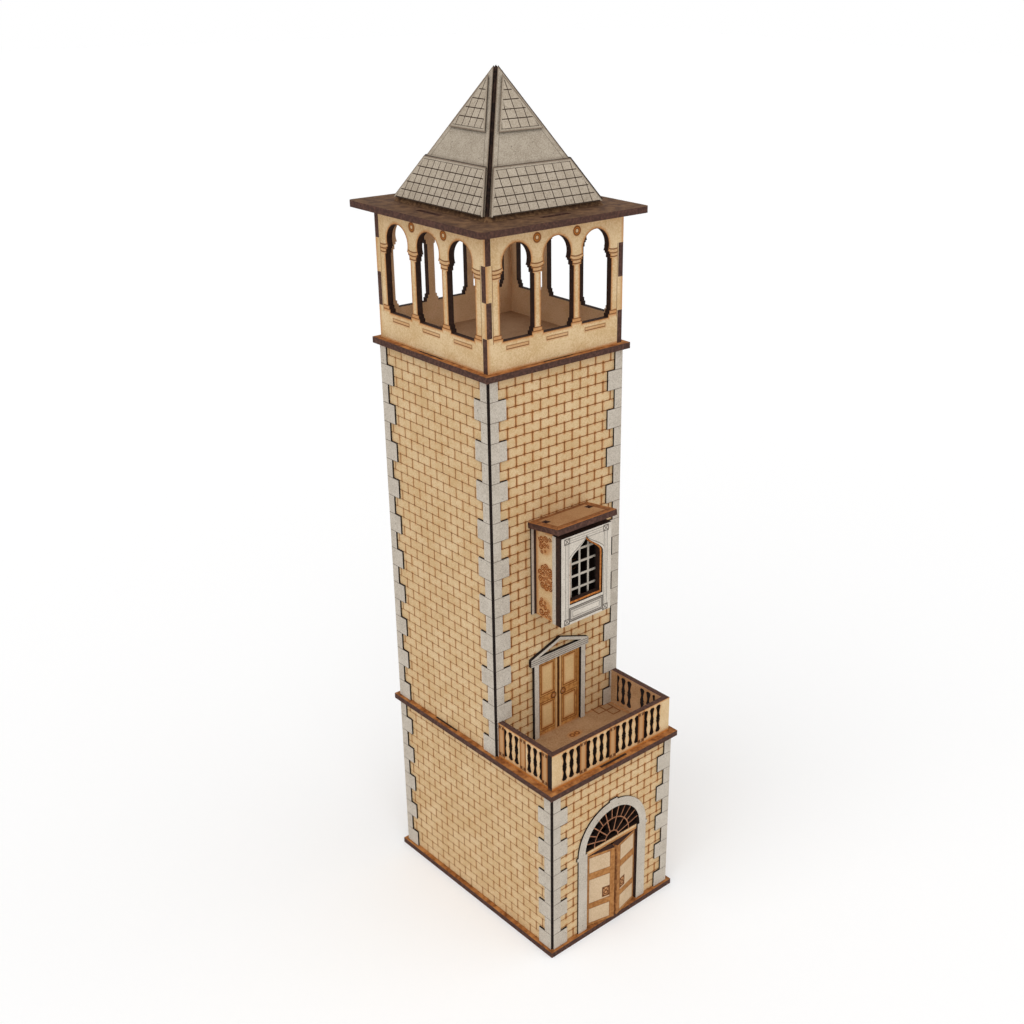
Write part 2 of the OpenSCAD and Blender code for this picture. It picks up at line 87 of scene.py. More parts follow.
# Bricks: length, joints on the front and the sides, rows, and half lengths of the rows; corner stones
BRICK, FRONT_JOINT, SIDE_JOINT = 9.92, 0.43, 0.36
LOWER_ROWS, SHAFT_ROWS = 19, 40
LOWER_COURSE, SHAFT_COURSE = (LEDGE_Z - LOWER_Z) / LOWER_ROWS, (CORNICE_Z - SHAFT_Z) / SHAFT_ROWS
SHORT_ROW, LONG_ROW = 38.5, 59.5
LOWER_STONE, SHAFT_STONE = (LEDGE_Z - LOWER_Z) / 10, (CORNICE_Z - SHAFT_Z) / 20

# Roof cards: their foot, and how far their layers stop short of the hips
ROOF_HALF, ROOF_H, CARD_LIFT = 35.25, 62.0, 2.3
ROOF_SLOPE = math.atan2(ROOF_H, ROOF_HALF)
ROOF_RUN = math.hypot(ROOF_H, ROOF_HALF)
LOWER_EDGE, UPPER_EDGE = 2.3, 4.3
LOWER_TOP, UPPER_FOOT = 0.3 * ROOF_RUN, 0.51 * ROOF_RUN
ROOF_BORDER, TILE_JOINT = 1.3, 0.48


def tint(red, green, blue):
    """A colour as it shows on a screen, as the linear colour that a shader takes."""
    def linear(c):
        c /= 255
        return c / 12.92 if c <= 0.04045 else ((c + 0.055) / 1.055) ** 2.4
    return (linear(red), linear(green), linear(blue), 1)


# Finishes
BOARD_PALE = tint(222, 195, 154)
BOARD_TAN = tint(200, 166, 119)
BOARD_INSIDE = tint(222, 188, 150)
INSIDE_TAN = tint(202, 164, 125)
FLECK = tint(140, 104, 66)
SCORCH = tint(186, 116, 50)
ETCH = tint(112, 64, 28)
ETCH_DARK = tint(58, 32, 17)
CHAR = tint(96, 66, 55)
# Dark char, also used for painted shade of the gap between a bay side and the wall
CHAR_DARK_AND_SHADE = tint(66, 45, 38)
# Soot on cut edges, also used for painted shade of the gap beside the bay
SOOT_AND_SHADE = tint(60, 39, 29)
SOOT_DARK = tint(42, 26, 19)
LIP = tint(164, 104, 54)
CARD_PALE = tint(205, 195, 181)
CARD_GREY = tint(176, 165, 150)
CARD_LINE = tint(82, 70, 61)
# Painted shade inside the bay's box
BAY_PAINTED_SHADE = tint(38, 25, 18)
CARD_EDGE, CARD_EDGE_DARK = tint(52, 40, 34), tint(24, 18, 16)
SLATE_PALE = tint(181, 169, 152)
SLATE_GREY = tint(148, 135, 118)
SLATE_LINE = tint(58, 44, 34)
# Painted shade in slots and narrow gaps
SLOT_SHADE = tint(34, 22, 17)


def maths(operation, reflected=False):
    """An operator of Value, which adds a Math node; in its reflected form the other value comes first."""
    def method(self, other):
        pair = (other, self) if reflected else (self, other)
        return self.nodes.math(operation, *pair)
    return method


class Value:
    """A socket that takes part in Python sums; each sum adds a Math node to its tree."""

    __add__, __radd__ = maths("ADD"), maths("ADD", True)
    __sub__, __rsub__ = maths("SUBTRACT"), maths("SUBTRACT", True)
    __mul__, __rmul__ = maths("MULTIPLY"), maths("MULTIPLY", True)
    __truediv__ = maths("DIVIDE")

    def __init__(self, nodes, socket):
        self.nodes = nodes
        self.socket = socket

    def __abs__(self):
        return self.nodes.math("ABSOLUTE", self)


class Nodes:
    """A node tree that is filled from Python."""

    def __init__(self, tree):
        self.tree = tree

    def add(self, kind, sockets=None, out=0, **settings):
        """A node of that kind with its settings, then its sockets' values or links; gives one output."""
        node = self.tree.nodes.new(kind)
        for name, value in settings.items():
            setattr(node, name, value)
        for name, value in (sockets or {}).items():
            for item in value if isinstance(value, list) else [value]:
                if isinstance(item, Value):
                    self.tree.links.new(item.socket, node.inputs[name])
                else:
                    node.inputs[name].default_value = item
        return Value(self, node.outputs[out]) if node.outputs else None

    def math(self, operation, *values):
        return self.add("ShaderNodeMath", dict(enumerate(values)), operation=operation)

    def least(self, *values):
        return reduce(partial(self.math, "MINIMUM"), values)

    def most(self, *values):
        return reduce(partial(self.math, "MAXIMUM"), values)

    def clamp(self, value, low, high):
        return self.least(self.most(value, low), high)

    def span(self, x, y):
        """Length of the line from the origin to x, y."""
        return self.math("SQRT", x * x + y * y)

    def above(self, value, limit):
        return self.math("GREATER_THAN", value, limit)

    def below(self, value, limit):
        return self.math("LESS_THAN", value, limit)

    def smooth(self, value, zero, one):
        """A soft step that is 0 at zero and 1 at one, whichever is the higher."""
        return self.add("ShaderNodeMapRange", {"Value": value, "From Min": zero, "From Max": one},
                        interpolation_type="SMOOTHSTEP")

    def nearest(self, value, pitch, first, last):
        """Distance along a row of places, a pitch apart from number first to last, to the nearest one."""
        number = self.math("ROUND", self.clamp(value / pitch, first, last))
        return value - number * pitch

    def line(self, distance, width):
        """An etched line where a distance is 0."""
        return self.smooth(abs(distance), width * 0.5 + 0.12, width * 0.5 - 0.06)

    def frame_line(self, x, y, half_x, half_y, width):
        """The outline of a rectangle about the origin of x, y."""
        return self.line(self.most(abs(x) - half_x, abs(y) - half_y), width)

    def inside(self, x, y, half_x, half_y):
        return self.smooth(self.most(abs(x) - half_x, abs(y) - half_y), 0.08, -0.08)

    def mix(self, factor, a, b):
        return self.add("ShaderNodeMix", {0: factor, 6: a, 7: b}, 2, data_type="RGBA")

    def noise(self, vector, scale, detail=2.0, rough=0.55):
        return self.add("ShaderNodeTexNoise", {
            "Vector": vector, "Scale": scale, "Detail": detail, "Roughness": rough})

    def patches(self, vector, scale, detail=2.0, low=0.3, high=0.7):
        """Noise drawn apart into soft patches of 0 and 1."""
        return self.smooth(self.noise(vector, scale, detail), low, high)

    def parts(self, vector, count=3):
        return [self.add("ShaderNodeSeparateXYZ", {0: vector}, i) for i in range(count)]

    def joined(self, x=0.0, y=0.0, z=0.0):
        return self.add("ShaderNodeCombineXYZ", {0: x, 1: y, 2: z})

    def local(self, centre=(0, 0, 0), turn=0.0, tilt=0.0):
        """The point in millimetres from a centre, X turned along a face; a vector and its parts."""
        spot = self.add("ShaderNodeTexCoord", out="Object")
        vector = self.add("ShaderNodeMapping", {
            "Vector": spot, "Location": [Vector(centre) * MM],
            "Rotation": [Euler((tilt, 0, math.radians(turn)))], "Scale": [(MM, MM, MM)]},
            vector_type="TEXTURE")
        return vector, *self.parts(vector)

    def facing(self, direction):
        """How far the surface faces a direction of the piece, from -1 to 1."""
        normal = self.add("ShaderNodeTexCoord", out="Normal")
        return self.add("ShaderNodeVectorMath", {0: normal, 1: [tuple(direction)]}, "Value",
                        operation="DOT_PRODUCT")

    def outside(self, direction):
        """1 on the face that looks in a direction."""
        return self.smooth(self.facing(direction), 0.4, 0.6)

    def flat(self, direction, low=0.45, high=0.6):
        """1 on both faces of a sheet that lies across a direction, and 0 on its cut edges."""
        return self.smooth(abs(self.facing(direction)), low, high)

    def along(self, direction):
        """1 where the surface looks along a direction or against it."""
        return self.above(abs(self.facing(direction)), 0.5)

    def attribute(self, name, out="Fac"):
        """What the mesh keeps under a name, in a material."""
        return self.add("ShaderNodeAttribute", out=out, attribute_name=name)

    def kept(self, name):
        """A number that the mesh keeps under a name, in Geometry Nodes."""
        return self.add("GeometryNodeInputNamedAttribute", {"Name": name}, data_type="FLOAT")

    def keep(self, geometry, name, value, kind="FLOAT", domain="INSTANCE"):
        """The geometry with a value kept on it under a name."""
        return self.add("GeometryNodeStoreNamedAttribute",
                        {"Geometry": geometry, "Name": name, "Value": value}, data_type=kind, domain=domain)


def outward(turn, tilt=90.0):
    """The direction that a side of the tower faces; a tilt of 90 is upright, and less leans back."""
    lean = math.radians(tilt)
    return Euler((0, 0, math.radians(turn))).to_matrix() @ Vector((0, -math.sin(lean), math.cos(lean)))


def cleared(owner):
    """The emptied node tree of a material or a world."""
    owner.use_nodes = True
    owner.node_tree.nodes.clear()
    return Nodes(owner.node_tree)


def linked(name, data):
    """A new object in the scene."""
    made = bpy.data.objects.new(name, data)
    bpy.context.scene.collection.objects.link(made)
    return made


def mesh_from(bm, name):
    mesh = bpy.data.meshes.new(name)
    bm.to_mesh(mesh)
    bm.free()
    return mesh


def material(name, dress):
    """A matt finish whose colour and fine relief come from dress(nodes)."""
    made = bpy.data.materials.new(name)
    n = cleared(made)
    colour, height = dress(n)
    normal = n.add("ShaderNodeBump", {"Strength": 0.12, "Distance": 0.3 * MM, "Height": height})
    shader = n.add("ShaderNodeBsdfPrincipled", {
        "Base Color": colour, "Roughness": 0.85, "Normal": normal, "Specular IOR Level": 0.2})
    n.add("ShaderNodeOutputMaterial", {"Surface": shader})
    return made


def fibre(n, vector, pale=BOARD_PALE, dark=BOARD_TAN):
    """Pressed fibre: soft blotches and fine flecks between two tones; a colour and a height."""
    fleck = n.noise(vector, 1.5, 3.0, 0.7)
    cloud = n.noise(vector, 0.09, 2.0)
    tone = n.smooth(fleck * 0.65 + cloud * 0.35, 0.36, 0.63)
    speck = n.patches(vector, 1.15, 2.0, 0.66, 0.76)
    return n.mix(speck * 0.5, n.mix(tone, dark, pale), FLECK), fleck


def charred(n, vector, dark=CHAR_DARK_AND_SHADE, pale=CHAR):
    """A cut edge burnt dark, with paler scuffs."""
    return n.mix(n.patches(vector, 0.7, 4.0, 0.35, 0.75), dark, pale)


def scorch(n, colour, halo, line=None, core=ETCH):
    """Burns a halo, and then a line, into a colour."""
    burnt = n.mix(halo, colour, SCORCH)
    return burnt if line is None else n.mix(line, burnt, core)


def sheet_edges(n, vector, colour, direction, cut=None):
    """The colour on the faces of a sheet that lies across a direction, and char on its cut edges."""
    return n.mix(n.flat(direction), cut or charred(n, vector), colour)


def put(name, mesh, body="tower", made=None):
    """A finished piece at the origin that rides on a body."""
    piece = linked(name, mesh)
    if made is not None:
        mesh.materials.clear()
        mesh.materials.append(made)
    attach(piece, body)


# Geometry Nodes: courses of bricks or tiles

def new_tree(name, inputs):
    """A tree with named inputs by their kind and one geometry output; also its nodes and its inputs."""
    tree = bpy.data.node_groups.new(name, "GeometryNodeTree")
    for kind, names in inputs.items():
        for each in names:
            tree.interface.new_socket(name=each, in_out="INPUT", socket_type="NodeSocket" + kind)
    tree.interface.new_socket(name="Geometry", in_out="OUTPUT", socket_type="NodeSocketGeometry")
    n = Nodes(tree)
    entry = tree.nodes.new("NodeGroupInput")
    return tree, n, {s.name: Value(n, s) for s in entry.outputs if s.name}


def courses_tree():
    """Slabs in courses over a face, cut off at its sides and around an arched opening.

    The face stands on X with Y up and Z outwards, its foot at the origin.
    """
    tree, n, size = new_tree("courses", {
        "Float": ("Length", "Course", "Joint X", "Joint Y", "Proud", "Bond", "Shift", "Foot", "Half Width",
                  "Taper", "Opening Half", "Opening Spring", "Opening Radius"),
        "Int": ("Columns", "Rows", "First Row", "Seed")})
    length, course = size["Length"], size["Course"]
    position = n.add("GeometryNodeInputPosition")
    x, y, z = n.parts(position)

    # Middles of the slabs, every other course moved along by the bond
    points = n.add("GeometryNodeMeshGrid", {
        "Size X": (size["Columns"] - 1) * length, "Size Y": (size["Rows"] - 1) * course,
        "Vertices X": size["Columns"], "Vertices Y": size["Rows"]})
    row = n.math("ROUND", y / course + (size["Rows"] - 1) * 0.5)
    odd = n.math("FLOORED_MODULO", row + size["First Row"], 2.0)
    placed = n.joined(x + odd * size["Bond"] * length + size["Shift"], (row + 0.5) * course + size["Foot"])
    points = n.add("GeometryNodeSetPosition", {"Geometry": points, "Position": placed})

    # One slab, which keeps its own coordinates
    faces = n.joined(length - size["Joint X"], course - size["Joint Y"], size["Proud"])
    slab = n.add("GeometryNodeMeshCube", {"Size": faces})
    slab = n.keep(slab, "slab", position, "FLOAT_VECTOR", "POINT")
    laid = n.add("GeometryNodeInstanceOnPoints", {"Points": points, "Instance": slab})
    shade = n.add("FunctionNodeRandomValue", {"Seed": size["Seed"]}, 1, data_type="FLOAT")
    laid = n.keep(laid, "tone", shade)
    laid = n.keep(laid, "middle", x)
    laid = n.add("GeometryNodeRealizeInstances", {"Geometry": laid})

    # Cut off at the sides, which close in by the taper, and pushed out of the opening
    side = n.most(size["Half Width"] - size["Taper"] * y, 0.0)
    held = n.least(n.most(x, side * -1.0), side)
    rise = y - size["Opening Spring"]
    arch = n.math("SQRT", n.most(size["Opening Radius"] * size["Opening Radius"] - rise * rise, 0.0))
    under = n.below(rise, 0.0)
    clear = size["Opening Half"] * under + arch * (1 - under)
    way = n.above(n.kept("middle"), 0.0) * 2 - 1
    blocked = n.below(abs(held), clear)
    pushed = held * (1 - blocked) + way * clear * blocked
    placed = n.joined(pushed, y, z + size["Proud"] * 0.5)
    laid = n.add("GeometryNodeSetPosition", {"Geometry": laid, "Position": placed})
    laid = n.add("GeometryNodeMergeByDistance", {"Geometry": laid, "Distance": 2e-5})
    n.add("NodeGroupOutput", {"Geometry": laid})
    return tree


COURSES = courses_tree()


def finished(n, geometry, finish):
    """Ends a tree: its instances made real, in their finish."""
    geometry = n.add("GeometryNodeRealizeInstances", {"Geometry": geometry})
    geometry = n.add("GeometryNodeSetMaterial", {"Geometry": geometry, "Material": finish})
    n.add("NodeGroupOutput", {"Geometry": geometry})


def laid_courses(name, faces, made):
    """One mesh of slabs for several faces, each given as its sizes, its foot's place, its turn and tilt."""
    tree, n, given = new_tree(name, {"Int": ("Seed",), "Material": ("Finish",)})
    parts = []
    for number, (sizes, foot, turn, tilt) in enumerate(faces):
        sizes = {**sizes, "Seed": given["Seed"] + number * 31}
        laid = n.add("GeometryNodeGroup", sizes, node_tree=COURSES)
        parts.append(n.add("GeometryNodeTransform", {
            "Geometry": laid, "Translation": [Vector(foot) * MM],
            "Rotation": [Euler((math.radians(tilt), 0, math.radians(turn)))]}))
    joined = n.add("GeometryNodeJoinGeometry", {"Geometry": parts})
    finished(n, joined, given["Finish"])
    return grown(name, tree, {"Seed": 7, "Finish": made})


def grown(name, tree, values, start=None):
    """The plain mesh that a Geometry Nodes tree makes with those inputs, from a start where it has one."""
    holder = linked(name + "_holder", start or bpy.data.meshes.new(name + "_empty"))
    modifier = holder.modifiers.new(name, "NODES")
    modifier.node_group = tree
    for item in tree.interface.items_tree:
        if item.in_out == "INPUT" and item.name in values:
            modifier[item.identifier] = values[item.name]
    holder.update_tag()
    bpy.context.view_layer.update()
    depsgraph = bpy.context.evaluated_depsgraph_get()
    mesh = bpy.data.meshes.new_from_object(holder.evaluated_get(depsgraph), depsgraph=depsgraph)
    mesh.name = name
    bpy.data.objects.remove(holder)
    return mesh


def in_metres(counts, lengths):
    """Inputs of the courses, which are 0 when left out: counts as they are, lengths in metres."""
    return {**counts, **{name: value * MM for name, value in lengths.items()}}


def brick_face(half, rows, course, first_row, shift=0.0, joint=FRONT_JOINT, opening=(0, 0, 0)):
    """Courses of bricks on a wall, clear of an opening's half width, springing and radius."""
    open_half, spring, radius = opening
    return in_metres(
        {"Columns": 2 * math.ceil(half / BRICK) + 3, "Rows": rows, "Bond": 0.5, "First Row": first_row},
        {"Length": BRICK, "Course": course, "Joint X": joint + 0.1, "Joint Y": joint, "Proud": 0.12,
         "Shift": shift, "Half Width": half, "Opening Half": open_half, "Opening Spring": spring,
         "Opening Radius": radius})


def tile_face(low, course, rows, length, edge):
    """Courses of tiles up the roof's slope, stopping at an edge beside its hips."""
    half = ROOF_HALF - edge
    return in_metres(
        {"Columns": 2 * math.ceil(half / length) + 1, "Rows": rows, "Taper": ROOF_HALF / ROOF_RUN},
        {"Length": length, "Course": course, "Joint X": TILE_JOINT, "Joint Y": TILE_JOINT, "Proud": 0.1,
         "Shift": 0.5 * length, "Foot": low, "Half Width": half})


# Finishes of the boards

def brick_dress(n):
    """Brick faces: scorched along their joints and most of all where joints meet."""
    vector, *_ = n.local()
    u, v = (part / MM for part in n.parts(n.attribute("slab", "Vector"), 2))
    colour, fleck = fibre(n, vector)
    colour = n.mix(n.attribute("tone") * 0.35, colour, BOARD_TAN)
    front = n.flat(BACK, 0.4)
    burnt = n.patches(vector, 0.16, 2.0)
    ragged = fleck * 0.5
    half_length, half_height = 4.7, 2.25
    end, bed = half_length - abs(u), half_height - abs(v)
    halo = n.most(n.smooth(end + ragged, 1.1, 0.2), n.smooth(bed + ragged, 0.8, 0.2) * 0.6)
    halo = halo * (0.28 + front * 0.3 + burnt * 0.2)
    meet = n.least(n.span(u, bed), n.span(end, bed)) + ragged
    spotted = n.smooth(meet, 1.9, 0.3) * (0.3 + front * 0.35 + burnt * 0.25)
    dark = n.smooth(meet, 0.9, 0.3) * (0.4 + front * 0.45)
    colour = scorch(n, colour, n.most(halo, spotted), dark)
    # Behind the bay the wall is painted dark, as painted shade inside its box
    _, x, y, z = n.local((0, SHAFT_FRONT, (BAY_FOOT + BAY_TOP) / 2))
    box = n.inside(x, z, BAY_HALF - 1.1, (BAY_TOP - BAY_FOOT) / 2 - 0.4)
    return n.mix(n.below(abs(y), 1.0) * box, colour, BAY_PAINTED_SHADE), fleck


def joint_tone(n, vector):
    """Etched lines between bricks: brown, darker in places, and paler on the sides."""
    front = n.flat(BACK, 0.4)
    mottled = n.patches(vector, 0.5, 3.0)
    sides = n.mix(mottled, tint(98, 66, 38), tint(144, 103, 62))
    return n.mix(front, sides, n.mix(mottled, tint(92, 52, 24), tint(136, 82, 36)))


def wall_dress(direction, n):
    """A wall under its bricks: joint lines outside, plain board inside, char on its edges."""
    vector, *_ = n.local()
    inside, fleck = fibre(n, vector, BOARD_INSIDE, INSIDE_TAN)
    face = n.mix(n.outside(direction), inside, joint_tone(n, vector))
    return sheet_edges(n, vector, face, direction), fleck


def head_dress(n):
    """The front wall's head: joint lines, a plain transom and scorched fanlight bars."""
    vector, x, _, z = n.local((0, -HALF_D, FAN_Z))
    inside, fleck = fibre(n, vector, BOARD_INSIDE, INSIDE_TAN)
    pale, _ = fibre(n, vector)
    joint = joint_tone(n, vector)
    bars = n.mix(n.patches(vector, 0.4, 2.0, 0.35, 0.65), tint(138, 90, 64), tint(170, 120, 88))
    fan = n.below(n.span(x, z), FAN_RADIUS) * n.above(z, 0.0)
    transom_half, tick_pitch = 19.0, 4.2
    transom = n.below(z, 0.02) * n.below(abs(x), transom_half)
    tick = n.line(n.nearest(x, tick_pitch, -4, 4), 0.3) * n.smooth(z, -1.2, -0.9) * 0.6
    burnt = n.most(n.smooth(abs(z + 1.5), 0.9, 1.6) * 0.8, n.smooth(z, -1.3, -1.9) * 0.75)
    beam = scorch(n, pale, burnt, tick)
    face = n.mix(transom, n.mix(fan, joint, bars), beam)
    return n.mix(n.flat(BACK), tint(40, 26, 20), n.mix(n.outside(FRONT), inside, face)), fleck


def belfry_dress(turn, n):
    """A belfry wall: scorched arches, etched capitals, bases, rosettes and sill slots."""
    vector, x, _, z = n.local((0, SHAFT_MID, BELFRY_Z), turn)
    plain, fleck = fibre(n, vector)
    inside, _ = fibre(n, vector, BOARD_INSIDE, INSIDE_TAN)
    shaft_gap, shaft_step, slot_half, slot_z, ring_z = 9.9, 0.775, 6.4, 10.4, 56.8
    a = n.nearest(x, ARCH_PITCH, -1.0, 1.0)
    side, off = abs(x), abs(a)
    head = n.above(z, ARCH_FOOT)
    steps = n.above(z, 41.5) + n.above(z, 43.7) + n.below(z, 16.8) + n.below(z, 15.15)
    straight = n.most(off - shaft_gap + steps * shaft_step, ARCH_SILL - z)
    round_head = n.span(a, z - ARCH_SPRING) - ARCH_RADIUS
    clear = round_head * head + straight * (1 - head)
    ragged = (fleck - 0.5) * 0.9
    ends = n.smooth(side + ragged, HALF_W - 2.2, HALF_W)
    rims = n.most(n.smooth(z + ragged, 1.3, 0.0), n.smooth(z - ragged, BELFRY_H - 1.4, BELFRY_H))
    halo = n.most(n.smooth(clear + ragged, 1.7, 0.0), ends * 0.8, rims * 0.9) * 0.75
    # Mouldings of the capitals rise a little towards their ends
    column = abs(ARCH_PITCH / 2 - off)
    level = z - column * column * 0.05
    caps = n.most(*[n.line(level - height, 0.55) for height in (42.0, 43.7, 45.5)])
    feet = n.most(n.line(z - 14.9, 0.4), n.line(z - 16.6, 0.4))
    band = n.below(column, 3.6) * n.below(side, POST_EDGE) * n.most(caps, feet)
    post = n.line(side - POST_EDGE, 0.35) * n.smooth(abs(z - 30.5), 17.6, 17.2) * 0.8
    below_slot = n.line(z - 9.7, 0.4) * n.below(off, slot_half)
    slot = n.most(n.frame_line(a, z - slot_z, slot_half, 0.75, 0.35) * 0.75, below_slot)
    ring = n.span(side - ARCH_PITCH / 2, z - ring_z)
    rings = n.most(n.line(ring - 2.0, 0.6), n.line(ring - 1.05, 0.4))
    cap_glow = n.smooth(abs(z - 43.4), 3.0, 1.2) * 0.35
    foot_glow = n.smooth(abs(z - 15.4), 2.4, 0.8) * 0.65
    glow = n.most(halo, n.smooth(ring, 3.0, 1.6) * n.smooth(ring, 0.5, 1.2),
                  n.smooth(n.most(off - slot_half, abs(z - 10.2) - 0.75), 1.0, 0.0) * 0.4,
                  n.below(column, 3.7) * n.below(side, POST_EDGE + 0.2) * n.most(cap_glow, foot_glow))
    burnt = n.smooth(clear + ragged * 0.4, 0.55, 0.0) * 0.7
    face = scorch(n, plain, glow, n.most(band, post, slot, rings, burnt) * 0.9)
    out = n.outside(outward(turn))
    arches = n.below(side, 37.0) * n.above(z, 12.0) * n.below(z, 58.0)
    cut = n.mix(arches, charred(n, vector), charred(n, vector, SOOT_DARK, SOOT_AND_SHADE))
    return sheet_edges(n, vector, n.mix(out, inside, face), outward(turn), cut), fleck


def rail_dress(centre, turn, pilasters, first_gap, inner_gap, n):
    """A balustrade panel: etched pilasters with dots, and scorched balusters."""
    vector, x, _, z = n.local(centre, turn)
    plain, fleck = fibre(n, vector)
    side = abs(x)
    p = n.nearest(x, pilasters, -1.0, 1.0)
    q, rise = abs(p), abs(z - RAIL_MID)
    pillar = n.below(q, 2.35)
    beyond = n.above(side, pilasters)
    inner = n.nearest(side - inner_gap, GAP_PITCH, -4.0, 4.0)
    gap = inner * (1 - beyond) + n.nearest(side - first_gap, GAP_PITCH, 0.0, 2.0) * beyond
    ragged = (fleck - 0.5) * 0.5
    tall = n.smooth(abs(z - 10.6) + ragged, 9.6, 8.4)
    necks = n.smooth(abs(rise - 6.8), 2.0, 0.6) * n.below(abs(gap), 2.4)
    burnt = n.most(n.smooth(abs(gap) + ragged, 1.7, 1.2) * 0.5, necks * 0.35) * tall * (1 - pillar)
    brim = n.most(n.smooth(z + ragged, 2.6, 0.4), n.smooth(z - ragged, 18.9, 20.0) * 0.8)
    strips = n.most(n.line(q - 2.2, 0.6), n.line(q - 1.3, 0.2) * n.below(rise, 6.6) * 0.5)
    bands = n.most(n.line(rise - 6.9, 0.25) * 0.6, n.line(rise - 8.6, 0.35))
    dots = n.smooth(n.span(q - 1.1, rise - 7.7), 0.95, 0.6)
    etched = n.most(strips, bands, dots) * pillar * n.below(rise, 8.8)
    halo = n.most(burnt, brim, pillar * (0.52 + n.smooth(q, 0.6, 2.2) * 0.48))
    etched_face = scorch(n, plain, halo, n.most(etched * 0.95, pillar * fleck * 0.3), tint(84, 46, 20))
    # The face towards the balcony is plain
    inner, _ = fibre(n, vector, INSIDE_TAN, tint(164, 124, 84))
    inner = scorch(n, inner, burnt * 0.5)
    _, world_x, world_y, _ = n.local((0, -40, 0))
    out = n.above(n.facing(RIGHT) * world_x + n.facing(BACK) * world_y, 0.0)
    # Cut edges in the gaps between balusters are painted dark: painted shade
    cut = n.mix(n.below(rise, 9.4), charred(n, vector), SLOT_SHADE)
    return n.mix(n.flat(outward(turn)), cut, n.mix(out, inner, etched_face)), fleck


def bay_side_dress(n):
    """A side of the bay, scorched along its cut edges and around its ornaments."""
    vector, y, left, z = n.local((0, SCROLL_Y, SCROLL_Z), 90)
    plain, fleck = fibre(n, vector)
    ragged = (fleck - 0.5) * 1.4
    to_wall = (SHAFT_FRONT - SCROLL_Y) - y
    edge = n.least(y - (BAY_END - SCROLL_Y), to_wall - 1.5,
                   z - (BAY_FOOT - SCROLL_Z), (BAY_TOP - SCROLL_Z) - z)
    rim = n.smooth(edge + ragged, 2.6, 0.2)
    rosette = n.smooth(n.span(y, z * 0.86) + ragged, 7.6, 5.0)
    above, below = (n.smooth(n.span(y - 1.2, z - up) + ragged, 6.4, 3.6) for up in (17.0, -16.5))
    face = scorch(n, plain, n.most(rim * 0.75, rosette * 0.6, above * 0.6, below * 0.6))
    # A dark band along the edge against the wall: painted shade of the gap there
    face = n.mix(n.smooth(to_wall + ragged * 0.3, 1.9, 1.4), face, CHAR_DARK_AND_SHADE)
    # Faces inside the bay are painted dark, as painted shade
    indoors = n.above(n.facing(RIGHT) * left, 0.0)
    return sheet_edges(n, vector, n.mix(indoors, face, BAY_PAINTED_SHADE), RIGHT, SOOT_AND_SHADE), fleck


def bay_board_dress(n):
    """The board behind the bay's front card: its rim round the window is burnt orange, and its back face is
    painted dark as painted shade inside the bay.
    """
    vector, *_ = n.local()
    tone = n.noise(vector, 0.6, 3.0)
    rim = n.mix(n.smooth(tone, 0.35, 0.65), tint(176, 98, 42), tint(214, 138, 70))
    face = n.mix(n.outside(FRONT), BAY_PAINTED_SHADE, rim)
    return sheet_edges(n, vector, face, BACK, charred(n, vector, SOOT_DARK, SOOT_AND_SHADE)), tone


def bay_floor_dress(n):
    """The bay's floor: painted dark inside, as painted shade in the bay, and plain board below."""
    vector, *_ = n.local()
    plain, fleck = fibre(n, vector)
    return sheet_edges(n, vector, n.mix(n.outside(UP), plain, BAY_PAINTED_SHADE), UP), fleck


def leaf_dress(side, n):
    """A door leaf: three pale panels between etched rails, and a handle plate."""
    vector, x, _, z = n.local((side * HINGE_X, HINGE_Y, 0), side * AJAR)
    along = abs(x)
    plain, fleck = fibre(n, vector, tint(213, 187, 154), tint(194, 166, 132))
    rail = n.mix(n.patches(vector, 0.5, 3.0), tint(150, 98, 52), tint(182, 128, 74))
    # Middle and half height of each panel, their half width, and half the handle plate
    rows, panel_half = ((9.6, 4.7), (25.4, 7.6), (42.0, 4.9)), 6.3
    plate_x, plate_z = 1.9, 2.8
    u = along - 6.9
    panels = n.most(*[n.inside(u, z - up, panel_half, half) for up, half in rows])
    edges = n.most(*[n.frame_line(u, z - up, panel_half, half, 0.3) for up, half in rows])
    px, pz = along - 10.9, z - 22.0
    ring = n.span(px, pz + 0.6)
    studs = n.smooth(n.span(abs(px) - 1.6, abs(pz) - 2.4), 0.95, 0.5)
    plate = n.most(n.frame_line(px, pz, plate_x, plate_z, 0.7), n.line(ring - 1.1, 0.6), studs,
                   n.line(abs(px) - (pz - 0.6) * 0.8, 0.5) * n.inside(px, pz - 1.4, 1.8, 1.2))
    glow = n.most(n.smooth(n.most(abs(px) - plate_x, abs(pz) - plate_z), 0.9, -0.2) * 0.7, edges * 0.5)
    face = n.mix(panels, rail, scorch(n, plain, glow))
    face = n.mix(n.most(edges * 0.6, plate * 0.95), face, tint(92, 50, 22))
    # Cut edges are painted lighter than char: painted light against the shade in the gap between the leaves
    cut = n.mix(n.patches(vector, 0.6, 4.0, 0.35, 0.7), tint(130, 84, 48), tint(192, 134, 82))
    sides = n.mix(n.flat(outward(side * AJAR)), cut, face)
    return n.mix(n.along(UP), sides, CHAR_DARK_AND_SHADE), fleck


